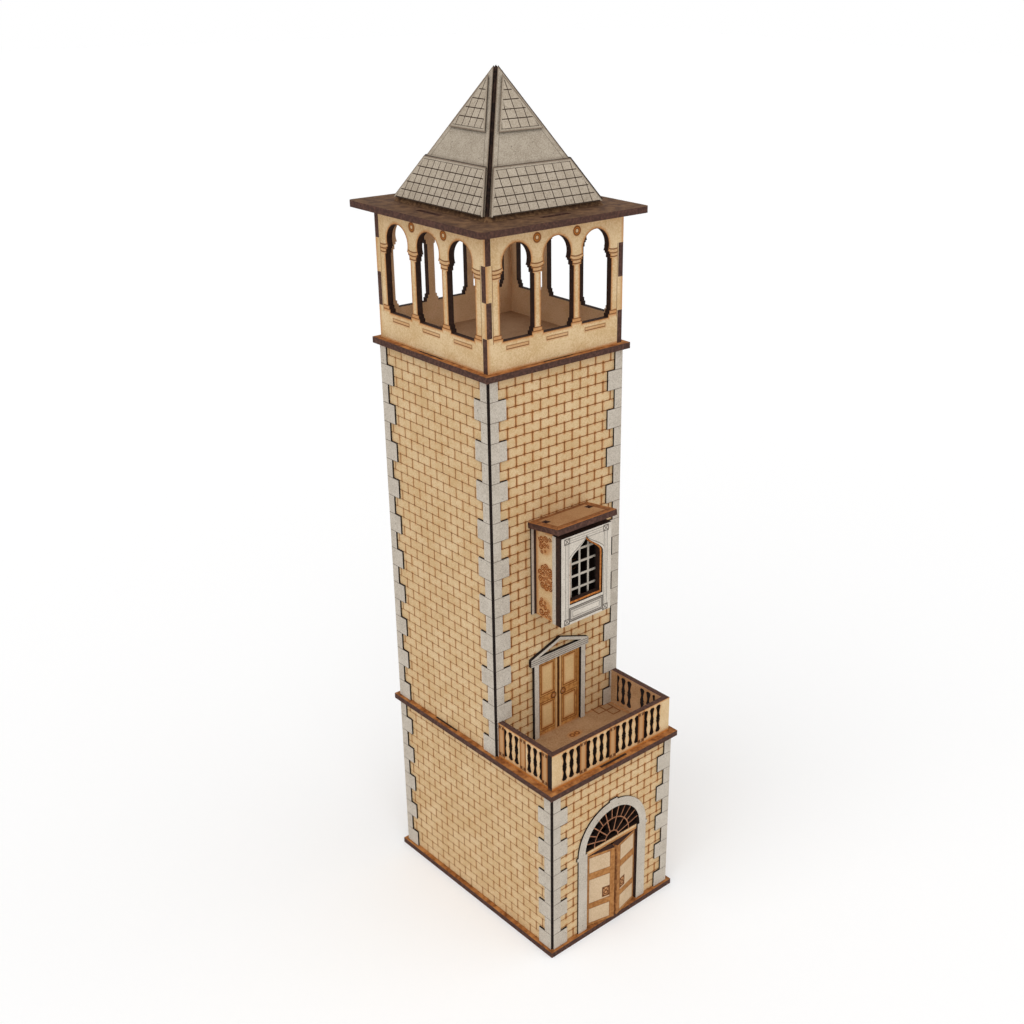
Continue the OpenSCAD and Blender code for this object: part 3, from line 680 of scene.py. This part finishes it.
def upper_leaf_dress(n):
    """The balcony door: four pale panels, a middle line and two ring handles."""
    vector, x, _, z = n.local((0, SHAFT_FRONT, SHAFT_Z))
    a = abs(x)
    plain, fleck = fibre(n, vector, tint(220, 184, 132), tint(206, 168, 116))
    rail = n.mix(n.patches(vector, 0.45, 3.0), tint(160, 103, 50), tint(200, 144, 80))
    half, low_half, high_half, border = 4.1, 7.3, 8.5, 1.2
    u = a - 7.5
    low, high = z - 10.6, z - 32.4
    panels = n.most(n.inside(u, low, half, low_half), n.inside(u, high, half, high_half))
    edges = n.most(*[n.frame_line(u, v, half + more, tall + more, width)
                     for v, tall in ((low, low_half), (high, high_half))
                     for more, width in ((0, 0.5), (border, 0.35))])
    ring = n.span(a - 3.2, z - 20.6)
    knocker = n.most(n.line(ring - 1.6, 0.7), n.smooth(ring, 1.1, 0.7) * 0.8) * 0.8
    middle = n.most(n.line(x, 1.3), knocker)
    sunk = n.least(half - abs(u), n.most(low_half - abs(low), high_half - abs(high)))
    rims = n.smooth(sunk, 1.9, 0.0) * n.above(sunk, -0.3)
    glow = n.most(rims, n.smooth(ring, 3.2, 1.6), n.smooth(a, DOOR_HALF - 1.8, DOOR_HALF) * 0.8)
    face = scorch(n, n.mix(panels, rail, plain), glow * 0.85, edges * 0.9)
    face = n.mix(n.line(a - 1.5, 0.9) * 0.7, face, plain)
    face = n.mix(middle, face, ETCH_DARK)
    return n.mix(n.smooth(ring, 0.75, 0.35) * 0.8, face, tint(196, 140, 104)), fleck


def plate_dress(floor, extra, n):
    """A level plate: burnt edges, a scorched lip and, inside a rectangle, a floor of its own."""
    vector, x, y, _ = n.local()
    fleck = n.noise(vector, 1.9, 3.0)
    lip = n.mix(n.patches(vector, 0.45, 4.0), ETCH, LIP)
    face = n.mix(n.patches(vector, 0.14, 3.0, 0.42, 0.68), lip, tint(182, 124, 70))
    half_x, low, high, pale, dark = floor
    boards, _ = fibre(n, vector, pale, dark)
    face = n.mix(n.inside(x, y - (low + high) / 2, half_x, (high - low) / 2), face, boards)
    if extra:
        face = extra(n, face, x, y)
    return sheet_edges(n, vector, face, UP), fleck


def ledge_extra(n, face, x, y):
    """Balcony floor: a corner of etched paving, a small pair of rings, and the tab slots in painted shade.
    """
    u, v = x - 29.6, y + 25.6
    paving = n.most(n.line(n.nearest(u, 5.3, -1.0, 1.0), 0.75), n.line(n.nearest(v, 5.4, -1.0, 1.0), 0.75))
    paving = paving * n.inside(u, v, 5.6, 5.7) * n.most(n.above(u, -0.2), n.above(v, -0.2))
    ring_y, ring_r, slot_half = -31.3, 1.15, 9.0
    rings = n.most(*[n.smooth(abs(n.span(x - at, y - ring_y) - ring_r), 0.75, 0.2) for at in (0.0, 3.3)])
    glow = n.smooth(n.span((x - 1.65) * 0.6, y - ring_y), 3.6, 0.8) * 0.8
    walls = n.least(RAIL_SIDE - abs(x), SHAFT_FRONT - y, y - RAIL_FRONT)
    floor = n.inside(x, y - (RAIL_FRONT + SHAFT_FRONT) / 2, RAIL_SIDE, (SHAFT_FRONT - RAIL_FRONT) / 2)
    walls = n.smooth(walls, 2.4, 0.0) * floor
    face = scorch(n, face, n.most(glow, paving * 0.6, walls * 0.4), n.most(paving, rings) * 0.95)
    front_slot = n.inside(x, y + HALF_D + 0.2, slot_half, 0.8)
    side_slots = n.inside(abs(x) - HALF_W - 0.3, y - SHAFT_MID, 0.8, slot_half)
    return n.mix(n.most(front_slot, side_slots) * 0.95, face, SLOT_SHADE)


def cornice_extra(n, face, x, y):
    """Tab slots at the middle of each belfry wall's foot, and finer gaps beside them, painted dark as
    painted shade.
    """
    off = n.most(abs(x), abs(y - SHAFT_MID)) - HALF_W
    along = n.least(abs(x), abs(y - SHAFT_MID))
    cut = n.inside(along, off - 0.3, 9.0, 0.9)
    gap = n.inside(along, off - 0.1, 24.0, 0.45) * 0.6
    return n.mix(n.most(cut, gap) * 0.95, face, SLOT_SHADE)


def eaves_dress(n):
    """The eaves plate: brown and mottled above, plain below, burnt at its edge."""
    vector, *_ = n.local()
    stain = n.smooth(n.noise(vector, 0.22, 5.0, 0.65), 0.34, 0.66)
    fine, fleck = fibre(n, vector, tint(118, 87, 59), tint(90, 63, 42))
    above = n.mix(stain, tint(72, 48, 32), fine)
    below, _ = fibre(n, vector, BOARD_INSIDE, INSIDE_TAN)
    return sheet_edges(n, vector, n.mix(n.outside(UP), below, above), UP), fleck


def bay_roof_dress(n):
    """The bay's lifted roof: brown board with an etched border along its free sides."""
    tilt = math.radians(BAY_TILT)
    vector, x, y, _ = n.local((0, SHAFT_FRONT, BAY_TOP), 0, tilt)
    middle, fleck = fibre(n, vector, tint(170, 130, 90), tint(148, 106, 68))
    streak = n.patches(vector, 0.4, 4.0)
    border = n.mix(streak, tint(106, 64, 36), tint(156, 102, 58))
    beside, before = BAY_HALF + 2.8 - abs(x), y + 21.8
    edge = n.least(beside, before, n.most(y * -1.0, 0.0) + 0.6)
    border_w = 3.4
    plain = n.mix(n.smooth(edge, border_w, border_w + 0.8), border, middle)
    etched = n.most(n.line(edge - border_w, 0.6), n.line(edge - 2.2, 0.3) * 0.5)
    mitre = n.line(beside - before, 0.6) * n.below(edge, border_w)
    halo = n.smooth(edge + streak * 0.8, 1.3, 0.2) * 0.6
    face = scorch(n, plain, halo, n.most(etched, mitre) * 0.85)
    return sheet_edges(n, vector, face, Euler((tilt, 0, 0)).to_matrix() @ Vector(UP)), fleck


# Finishes of the card

def card(n, vector, pale=CARD_PALE, grey=CARD_GREY):
    """Grey card: faint clouds and fine dark and light specks; a colour and a height."""
    grain = n.noise(vector, 1.7, 3.0, 0.75)
    cloud = n.noise(vector, 0.12, 3.0)
    colour = n.mix(n.smooth(grain * 0.75 + cloud * 0.25, 0.36, 0.62), grey, pale)
    speck = n.patches(vector, 0.95, 1.0, 0.68, 0.74)
    return n.mix(speck * 0.6, colour, CARD_LINE), grain


def card_edges(n, vector, colour, flat):
    """The colour where card lies flat, and burnt edges elsewhere."""
    burnt = n.mix(n.patches(vector, 0.8, 3.0, 0.35, 0.75), CARD_EDGE_DARK, CARD_EDGE)
    return n.mix(flat, burnt, colour)


def faces_front(n):
    return n.flat(BACK, 0.75, 0.85)


def strip_faces(n, ends):
    """1 on the flat sides of card strips: those at the ends lie across Y, and the others across X."""
    return ends * n.along(BACK) + (1 - ends) * n.along(RIGHT)


def stone_dress(foot, stone_h, front, back, n):
    """Corner stones: thin lines between the stones; the strips' cut edges are burnt."""
    vector, _, y, z = n.local((0, 0, foot))
    colour, grain = card(n, vector)
    joint = n.line(n.nearest(z, stone_h, 0.0, 40.0), 0.28)
    colour = n.mix(joint * 0.8, colour, CARD_LINE)
    ends = n.most(n.below(y, front), n.above(y, back))
    return card_edges(n, vector, colour, strip_faces(n, ends)), grain


def front_card_dress(n):
    """Card that faces the front, with burnt edges."""
    vector, *_ = n.local()
    colour, grain = card(n, vector)
    return card_edges(n, vector, colour, faces_front(n)), grain


def lintel_dress(n):
    """The balcony door's card, with mouldings along its lintel."""
    vector, _, _, z = n.local((0, SHAFT_FRONT, SHAFT_Z))
    colour, grain = card(n, vector)
    bands = n.most(*[n.line(z - height, 0.32) for height in (44.3, 45.4, 46.6)])
    shade = n.smooth(z, 43.2, 43.6) * n.smooth(z, 47.6, 47.2) * 0.15
    colour = n.mix(n.most(bands * 0.85, shade), colour, CARD_LINE)
    return card_edges(n, vector, colour, faces_front(n)), grain


def bay_card_dress(n):
    """The bay's front card: etched apron, pilasters, cornice, hood line and crossed corner squares."""
    vector, x, _, z = n.local((0, SHAFT_FRONT, BAY_FOOT))
    a = abs(x)
    colour, grain = card(n, vector, tint(219, 210, 197), tint(192, 182, 168))
    apron_half, apron_rise, up = 11.1, 3.6, z - 5.1
    inset = n.least(apron_half - a, apron_rise - abs(up))
    sunk = n.smooth(inset, 2.6, 0.3) * n.above(inset, 0.0)
    weave = n.line(n.nearest(x + z, 0.9, -40.0, 40.0), 0.3) * 0.3
    apron = n.most(n.frame_line(x, up, apron_half, apron_rise, 0.6), n.frame_line(x, up, 10.2, 2.7, 0.35),
                   n.frame_line(x, up, 8.8, 1.5, 0.35) * 0.7)
    posts = n.most(n.line(a - 13.6, 0.3), n.line(a - 12.6, 0.3) * 0.6, n.line(a - 11.5, 0.35))
    posts = posts * n.inside(x, z - 23.0, BAY_HALF, 20.2)
    tops = n.most(n.line(z - 43.4, 0.35), n.line(z - 44.6, 0.3) * 0.7, n.line(z - 45.8, 0.35))
    tops = tops * n.below(a, 11.0)
    hood_half, hood_foot, hood_rise = 11.9, 33.8, 11.3
    sweep = n.math("ARCCOSINE", n.clamp(a / hood_half * 2 - 1, -1.0, 1.0)) / math.pi
    hood = n.line(z - hood_foot - sweep * hood_rise, 0.5) * n.below(a, hood_half - 0.4)
    square_x, square_z = 1.6, 1.4
    u, v = a - 12.6, abs(z - 23.3) - 21.4
    cross = n.line(abs(u) - abs(v), 0.6) * n.inside(u, v, square_x, square_z)
    squares = n.most(n.frame_line(u, v, square_x, square_z, 0.5), cross)
    lines = n.most(apron, posts * 0.75, tops * 0.7, squares, hood * 0.8)
    colour = n.mix(sunk * (0.32 + weave), colour, CARD_LINE)
    colour = n.mix(lines * 0.8, colour, tint(56, 46, 40))
    return card_edges(n, vector, colour, faces_front(n)), grain


def strip_dress(n):
    """Card strips on the bay's corners and beside it."""
    vector, x, y, _ = n.local((0, SHAFT_FRONT, 0))
    colour, grain = card(n, vector)
    beside = n.above(y, -1.5)
    # The strips beside the bay are dark along their edge at the bay: painted shade of the gap there
    colour = n.mix(beside * n.smooth(abs(x), BAY_HALF + 0.1, BAY_HALF - 0.1), colour, SOOT_AND_SHADE)
    return card_edges(n, vector, colour, strip_faces(n, beside)), grain


def roof_foot(turn):
    """The middle of the roof cards' foot on one side."""
    return outward(turn) * ROOF_HALF + Vector((0, SHAFT_MID, ROOF_Z + CARD_LIFT))


def roof_dress(turn, n):
    """Roof card: dark between the tiles, plain elsewhere, with a burnt rim around each piece."""
    vector, x, v, depth = n.local(roof_foot(turn), turn, ROOF_SLOPE)
    colour, grain = card(n, vector, SLATE_PALE, SLATE_GREY)
    hip = (ROOF_HALF - v * (ROOF_HALF / ROOF_RUN)) - abs(x)
    outer = n.above(depth, -0.5)
    low = outer * n.below(v, LOWER_TOP + 0.5)
    high = outer * (1 - low)
    lower = n.least(hip - LOWER_EDGE, LOWER_TOP - v)
    upper = n.least(hip - UPPER_EDGE, v - UPPER_FOOT)
    inset = low * lower + high * upper + (1 - outer) * (hip - 2.2)
    field = n.above(inset, ROOF_BORDER) * outer
    plain_line = n.line(inset - 3.0, 0.3) * (1 - outer) * 0.6
    rim = n.smooth(inset, 0.9, 0.1) * 0.8
    shade = n.smooth(v, LOWER_TOP + 2.4, LOWER_TOP) * (1 - outer) * 0.4
    colour = n.mix(n.most(rim, shade), colour, tint(98, 78, 61))
    colour = n.mix(n.most(field, plain_line), colour, SLATE_LINE)
    flat = n.smooth(n.facing(outward(turn, math.degrees(ROOF_SLOPE))), 0.9, 0.95)
    return card_edges(n, vector, colour, flat), grain


def groove_dress(n):
    """The roof's board, dark where it shows along the hips and under the cards: burnt edges and painted
    shade of the gaps.
    """
    vector, _, _, z = n.local((0, 0, ROOF_Z))
    tone = n.noise(vector, 0.5, 4.0)
    # Near black above the foot: char and painted shade of the gaps; browner at the foot
    burnt = n.mix(n.smooth(tone, 0.35, 0.7), tint(22, 14, 11), tint(62, 42, 32))
    foot = n.mix(n.smooth(tone, 0.35, 0.7), tint(84, 58, 39), tint(128, 96, 66))
    return n.mix(n.smooth(z, CARD_LIFT, CARD_LIFT - 0.5), burnt, foot), tone


def tile_dress(n):
    """Roof tiles: card, each a little lighter or darker than the next."""
    vector, *_ = n.local()
    colour, grain = card(n, vector, tint(191, 178, 160), tint(160, 146, 128))
    return n.mix(n.attribute("tone") * 0.25, colour, SLATE_GREY), grain


def scroll_dress(n):
    """Deep etching of the bay's ornaments."""
    vector, *_ = n.local()
    tone = n.noise(vector, 0.9, 3.0)
    return n.mix(n.smooth(tone, 0.35, 0.65), tint(112, 58, 22), tint(162, 92, 40)), tone


# Walls, by the way that they face, and their bricks

WALLS = {
    LEFT: ["lower_left_wall", "shaft_left_wall"],
    FRONT: ["lower_front_wall_left", "lower_front_wall_right", "shaft_front_wall"],
    BACK: ["lower_back_wall", "shaft_back_wall"],
    RIGHT: ["lower_right_wall", "shaft_right_wall"],
}


def storey_faces(rows, course, first_row, shift, opening, front, side_row, foot):
    """The brick faces of a storey; the front has an opening, and its bricks are shifted."""
    middle = (front + HALF_D) / 2
    side = brick_face(side_row, rows, course, first_row, joint=SIDE_JOINT)
    return [
        (brick_face(SHORT_ROW, rows, course, first_row, shift, opening=opening), (0, front, foot), 0, 90),
        (side, (HALF_W, middle, foot), 90, 90),
        (brick_face(SHORT_ROW, rows, course, first_row), (0, HALF_D, foot), 180, 90),
        (side, (-HALF_W, middle, foot), 270, 90),
    ]


BRICKS = material("brick faces", brick_dress)
DOOR_ARCH, BALCONY_DOOR = (21, 48.6, 21.6), (DOOR_HALF, DOOR_H, 0)
lower_faces = storey_faces(LOWER_ROWS, LOWER_COURSE, 0, -2.0, DOOR_ARCH, -HALF_D, LONG_ROW, LOWER_Z)
shaft_faces = storey_faces(SHAFT_ROWS, SHAFT_COURSE, 1, -0.7, BALCONY_DOOR, SHAFT_FRONT, SHORT_ROW, SHAFT_Z)
put("lower_bricks", laid_courses("lower_bricks", lower_faces, BRICKS))
put("shaft_bricks", laid_courses("shaft_bricks", shaft_faces, BRICKS))


def upper_door_mesh():
    """Two leaves a little proud of the bricks, with a gap between them."""
    gap, proud, thick = 0.25, 0.2, 0.15
    size = Vector((DOOR_HALF - gap, thick, DOOR_H))
    bm = bmesh.new()
    y, z = SHAFT_FRONT - proud - thick / 2, SHAFT_Z + DOOR_H / 2
    for side in (-1, 1):
        middle = Vector((side * (DOOR_HALF + gap) / 2, y, z))
        bmesh.ops.create_cube(bm, size=1, matrix=Matrix.LocRotScale(middle * MM, None, size * MM))
    return mesh_from(bm, "upper_door")


put("upper_door", upper_door_mesh(), made=material("upper door", upper_leaf_dress))

# Floors of the plates: half width, front and back edge, and two tones
GROUND_FLOOR = (HALF_W - SHEET, SHEET - HALF_D, HALF_D - SHEET, tint(206, 172, 136), tint(184, 148, 112))
BALCONY_FLOOR = (RAIL_SIDE, RAIL_FRONT, SHAFT_FRONT, tint(172, 135, 98), tint(146, 108, 73))
# The belfry's floor is darker than the ground floor: painted shade
SHADED_BELL_FLOOR = (HALF_W - SHEET, SHAFT_FRONT + SHEET, HALF_D - SHEET, tint(176, 143, 112), tint(154, 121, 92))

# Balustrades: from their middle, the pilasters, the first gap beyond them and the first gap between
FRONT_RAIL, SIDE_RAILS = (20.0, 23.175, 7.725), (16.4, 40.0, 9.35)

# Each finish, and the nodes that wear it
FINISHES = [
    ("door head", head_dress, ["lower_front_wall_head"]),
    ("left leaf", partial(leaf_dress, -1), ["left_door_leaf"]),
    ("right leaf", partial(leaf_dress, 1), ["right_door_leaf"]),
    ("roof board", groove_dress, [f"roof_{side}_panel" for side in SIDES]),
    ("balustrade front", partial(rail_dress, (0, -61.4, SHAFT_Z), 0, *FRONT_RAIL), ["balustrade_front"]),
    ("balustrade sides", partial(rail_dress, (0, -39.7, SHAFT_Z), 90, *SIDE_RAILS),
     ["balustrade_left", "balustrade_right"]),
    ("bay sides", bay_side_dress, ["bay_left_side", "bay_right_side"]),
    ("bay board", bay_board_dress, ["bay_front_board"]),
    ("bay floor", bay_floor_dress, ["bay_floor"]),
    ("base plate", partial(plate_dress, GROUND_FLOOR, None), ["base_plate"]),
    ("ledge plate", partial(plate_dress, BALCONY_FLOOR, ledge_extra), ["ledge_plate"]),
    ("cornice plate", partial(plate_dress, SHADED_BELL_FLOOR, cornice_extra), ["cornice_plate"]),
    ("eaves plate", eaves_dress, ["eaves_plate"]),
    ("bay roof", bay_roof_dress, ["bay_roof"]),
    ("lower stones", partial(stone_dress, LOWER_Z, LOWER_STONE, -HALF_D, HALF_D), ["lower_corner_stones"]),
    ("shaft stones", partial(stone_dress, SHAFT_Z, SHAFT_STONE, SHAFT_FRONT, HALF_D),
     ["shaft_corner_stones"]),
    ("front card", front_card_dress, ["door_surround", "bay_grille"]),
    ("balcony door card", lintel_dress, ["balcony_door_surround"]),
    ("bay card", bay_card_dress, ["bay_front_card"]),
    ("bay strips", strip_dress, ["bay_corner_cards"]),
]
for number, (direction, walls) in enumerate(WALLS.items()):
    FINISHES.append((f"brick joints {number}", partial(wall_dress, direction), walls))
for side, turn in SIDES.items():
    FINISHES.append((f"belfry wall {side}", partial(belfry_dress, turn), [f"belfry_{side}_wall"]))
    FINISHES.append((f"roof card {side}", partial(roof_dress, turn), [f"roof_{side}_tiles"]))
for name, dress, wearers in FINISHES:
    finish = material(name, dress)
    for wearer in wearers:
        NODES[wearer].data.materials.clear()
        NODES[wearer].data.materials.append(finish)

# Roof tiles: width on the front and the sides, foot, rows, and the height of a row
TILE_FRONT, TILE_SIDE, TILE_FOOT = 5.3, 4.4, 0.3
LOW_ROWS, HIGH_ROWS, HIGH_TILE = 5, 6, 4.4
LOW_TILE = (LOWER_TOP - ROOF_BORDER - TILE_FOOT) / LOW_ROWS
roof_faces = []
for turn in SIDES.values():
    tile = TILE_FRONT if turn in (0, 180) else TILE_SIDE
    fields = (tile_face(TILE_FOOT, LOW_TILE, LOW_ROWS, tile, LOWER_EDGE + ROOF_BORDER),
              tile_face(UPPER_FOOT + ROOF_BORDER, HIGH_TILE, HIGH_ROWS, tile, UPPER_EDGE + ROOF_BORDER))
    for field in fields:
        roof_faces.append((field, roof_foot(turn), turn, math.degrees(ROOF_SLOPE)))
TILES = material("roof tiles", tile_dress)
put("roof_tiling", laid_courses("roof_tiling", roof_faces, TILES))


# Bay ornaments

def scroll_tree():
    """Flat spirals set out on the points of a mesh by its turn, size and hand attributes."""
    tree, n, given = new_tree("scrolls", {
        "Geometry": ("Geometry",), "Float": ("Turns", "Stroke", "Relief"), "Material": ("Finish",)})
    spiral = n.add("GeometryNodeCurveSpiral", {
        "Resolution": 14, "Rotations": given["Turns"], "Start Radius": 0.12, "End Radius": 1.0,
        "Height": 0.0})
    profile = n.add("GeometryNodeCurvePrimitiveCircle", {"Resolution": 6, "Radius": given["Stroke"]})
    stroke = n.add("GeometryNodeCurveToMesh", {
        "Curve": spiral, "Profile Curve": profile, "Fill Caps": True})
    turn, size, hand = (n.kept(name) for name in ("turn", "size", "hand"))
    rotation = n.add("FunctionNodeEulerToRotation", {0: n.joined(z=turn)})
    scale = n.joined(size * hand, size, given["Relief"])
    laid = n.add("GeometryNodeInstanceOnPoints", {
        "Points": given["Geometry"], "Instance": stroke, "Rotation": rotation, "Scale": scale})
    finished(n, laid, given["Finish"])
    return tree


# Spirals of the ornament in an upper corner: place, size, turn and hand
CORNER_SCROLLS = (
    (-3.6, 19.6, 2.0, 0.4, 1), (-0.2, 20.2, 1.7, 2.2, -1), (2.6, 20.8, 1.2, 3.4, 1),
    (-4.0, 15.6, 1.7, 1.6, -1), (-1.2, 16.6, 1.5, 4.0, 1), (1.3, 17.4, 1.1, 5.0, -1),
    (-3.4, 12.8, 1.1, 2.8, 1), (-0.9, 13.9, 0.9, 0.9, -1),
)


def scroll_points():
    """Place, turn, size and hand of each spiral on a bay side: X towards the bay's front, Y up."""
    found = [(0.0, 0.0, 0.6, 1.1, 1)]
    for count, wide, high, size in ((10, 4.5, 5.5, 1.75), (6, 2.2, 2.7, 1.2)):
        for i in range(count):
            angle = (i + 0.5) * 2 * math.pi / count
            hand = 1 if i % 2 else -1
            found.append((wide * math.cos(angle), high * math.sin(angle), angle + 0.4, size, hand))
    for up in (-1, 1):
        for x, y, size, turn, hand in CORNER_SCROLLS:
            found.append((x, y * up, turn * up, size, hand * up))
    return found


def scroll_mesh(made):
    """The spirals of both sides of the bay as one mesh."""
    tree = scroll_tree()
    values = {"Turns": 1.6, "Stroke": 0.2, "Relief": 0.35 * MM, "Finish": made}
    joined = bmesh.new()
    for side in (-1, 1):
        points = scroll_points()
        if side > 0:
            points = [(-x, y, math.pi - turn, size, -hand) for x, y, turn, size, hand in points]
        start = bpy.data.meshes.new("scroll points")
        start.from_pydata([(x * MM, y * MM, 0) for x, y, *_ in points], [], [])
        for number, name in enumerate(("turn", "size", "hand")):
            numbers = [p[2 + number] * (MM if name == "size" else 1) for p in points]
            start.attributes.new(name, "FLOAT", "POINT").data.foreach_set("value", numbers)
        scrolls = grown("scrolls", tree, values, start)
        place = Matrix.Translation(Vector((side * (BAY_HALF - 1), SCROLL_Y, SCROLL_Z)) * MM)
        scrolls.transform(place @ Euler((math.radians(90), 0, math.radians(90 * side))).to_matrix().to_4x4())
        joined.from_mesh(scrolls)
    bmesh.ops.recalc_face_normals(joined, faces=joined.faces)
    return mesh_from(joined, "bay_scrolls")


SCROLLS = material("bay scrolls", scroll_dress)
put("bay_scrolls", scroll_mesh(SCROLLS), made=SCROLLS)


# Floor, light and camera

def stage_floor():
    """A wide white floor that keeps the tower's shadow."""
    bm = bmesh.new()
    bmesh.ops.create_grid(bm, x_segments=2, y_segments=2, size=6.0)
    floor = linked("floor", mesh_from(bm, "floor"))
    made = bpy.data.materials.new("floor")
    n = cleared(made)
    seen = n.add("ShaderNodeLightPath", out="Is Camera Ray")
    white = n.add("ShaderNodeBsdfDiffuse", {"Color": (0.84, 0.84, 0.84, 1)})
    lift = n.add("ShaderNodeEmission", {"Color": (1, 1, 1, 1), "Strength": seen * 0.15})
    surface = n.add("ShaderNodeAddShader", {0: white, 1: lift})
    n.add("ShaderNodeOutputMaterial", {"Surface": surface})
    floor.data.materials.append(made)


def lamp(name, around, above, spread, strength):
    """A wide soft light from far off; 0 degrees around is the front, and more is to its right."""
    light = bpy.data.lights.new(name, "SUN")
    light.angle = math.radians(spread)
    light.energy = strength
    linked(name, light).rotation_euler = (math.radians(90 - above), 0, math.radians(around))


def daylight():
    """Even light from all round, and white where the camera sees it."""
    world = bpy.data.worlds.new("studio")
    bpy.context.scene.world = world
    n = cleared(world)
    rays = ("Is Camera Ray", "Is Glossy Ray", "Is Transmission Ray")
    shown = n.most(*[n.add("ShaderNodeLightPath", out=ray) for ray in rays])
    strength = 0.55 * (1 - shown) + shown
    light = n.add("ShaderNodeBackground", {"Color": (1, 1, 1, 1), "Strength": strength})
    n.add("ShaderNodeOutputWorld", {"Surface": light})


def photo_camera():
    """The camera that the photograph was taken with, from its fitted place, turn and lens."""
    around, above, roll = -0.769, 0.4212, 0.0175
    level = math.cos(above)
    back = Vector((math.sin(around) * level, -math.cos(around) * level, math.sin(above)))
    right = Vector((math.cos(around), math.sin(around), 0))
    up = back.cross(right)
    across = right * math.cos(roll) + up * math.sin(roll)
    upright = up * math.cos(roll) - right * math.sin(roll)
    data = bpy.data.cameras.new("camera")
    data.sensor_width = 36
    data.lens = 45.71
    data.shift_x, data.shift_y = -0.0972, 0.0173
    data.clip_start, data.clip_end = 0.01, 50
    camera = linked("camera", data)
    target, distance = Vector((93.53, 38.79, 165.0)), 752.85
    place = target + back * distance
    turned = Matrix((across, upright, back)).transposed().to_4x4()
    camera.matrix_world = Matrix.Translation(place * MM) @ turned
    bpy.context.scene.camera = camera


stage_floor()
lamp("key", around=-70, above=50, spread=70, strength=1.3)
lamp("fill", around=20, above=40, spread=90, strength=0.75)
daylight()
photo_camera()
bpy.context.scene.view_settings.view_transform = "Standard"
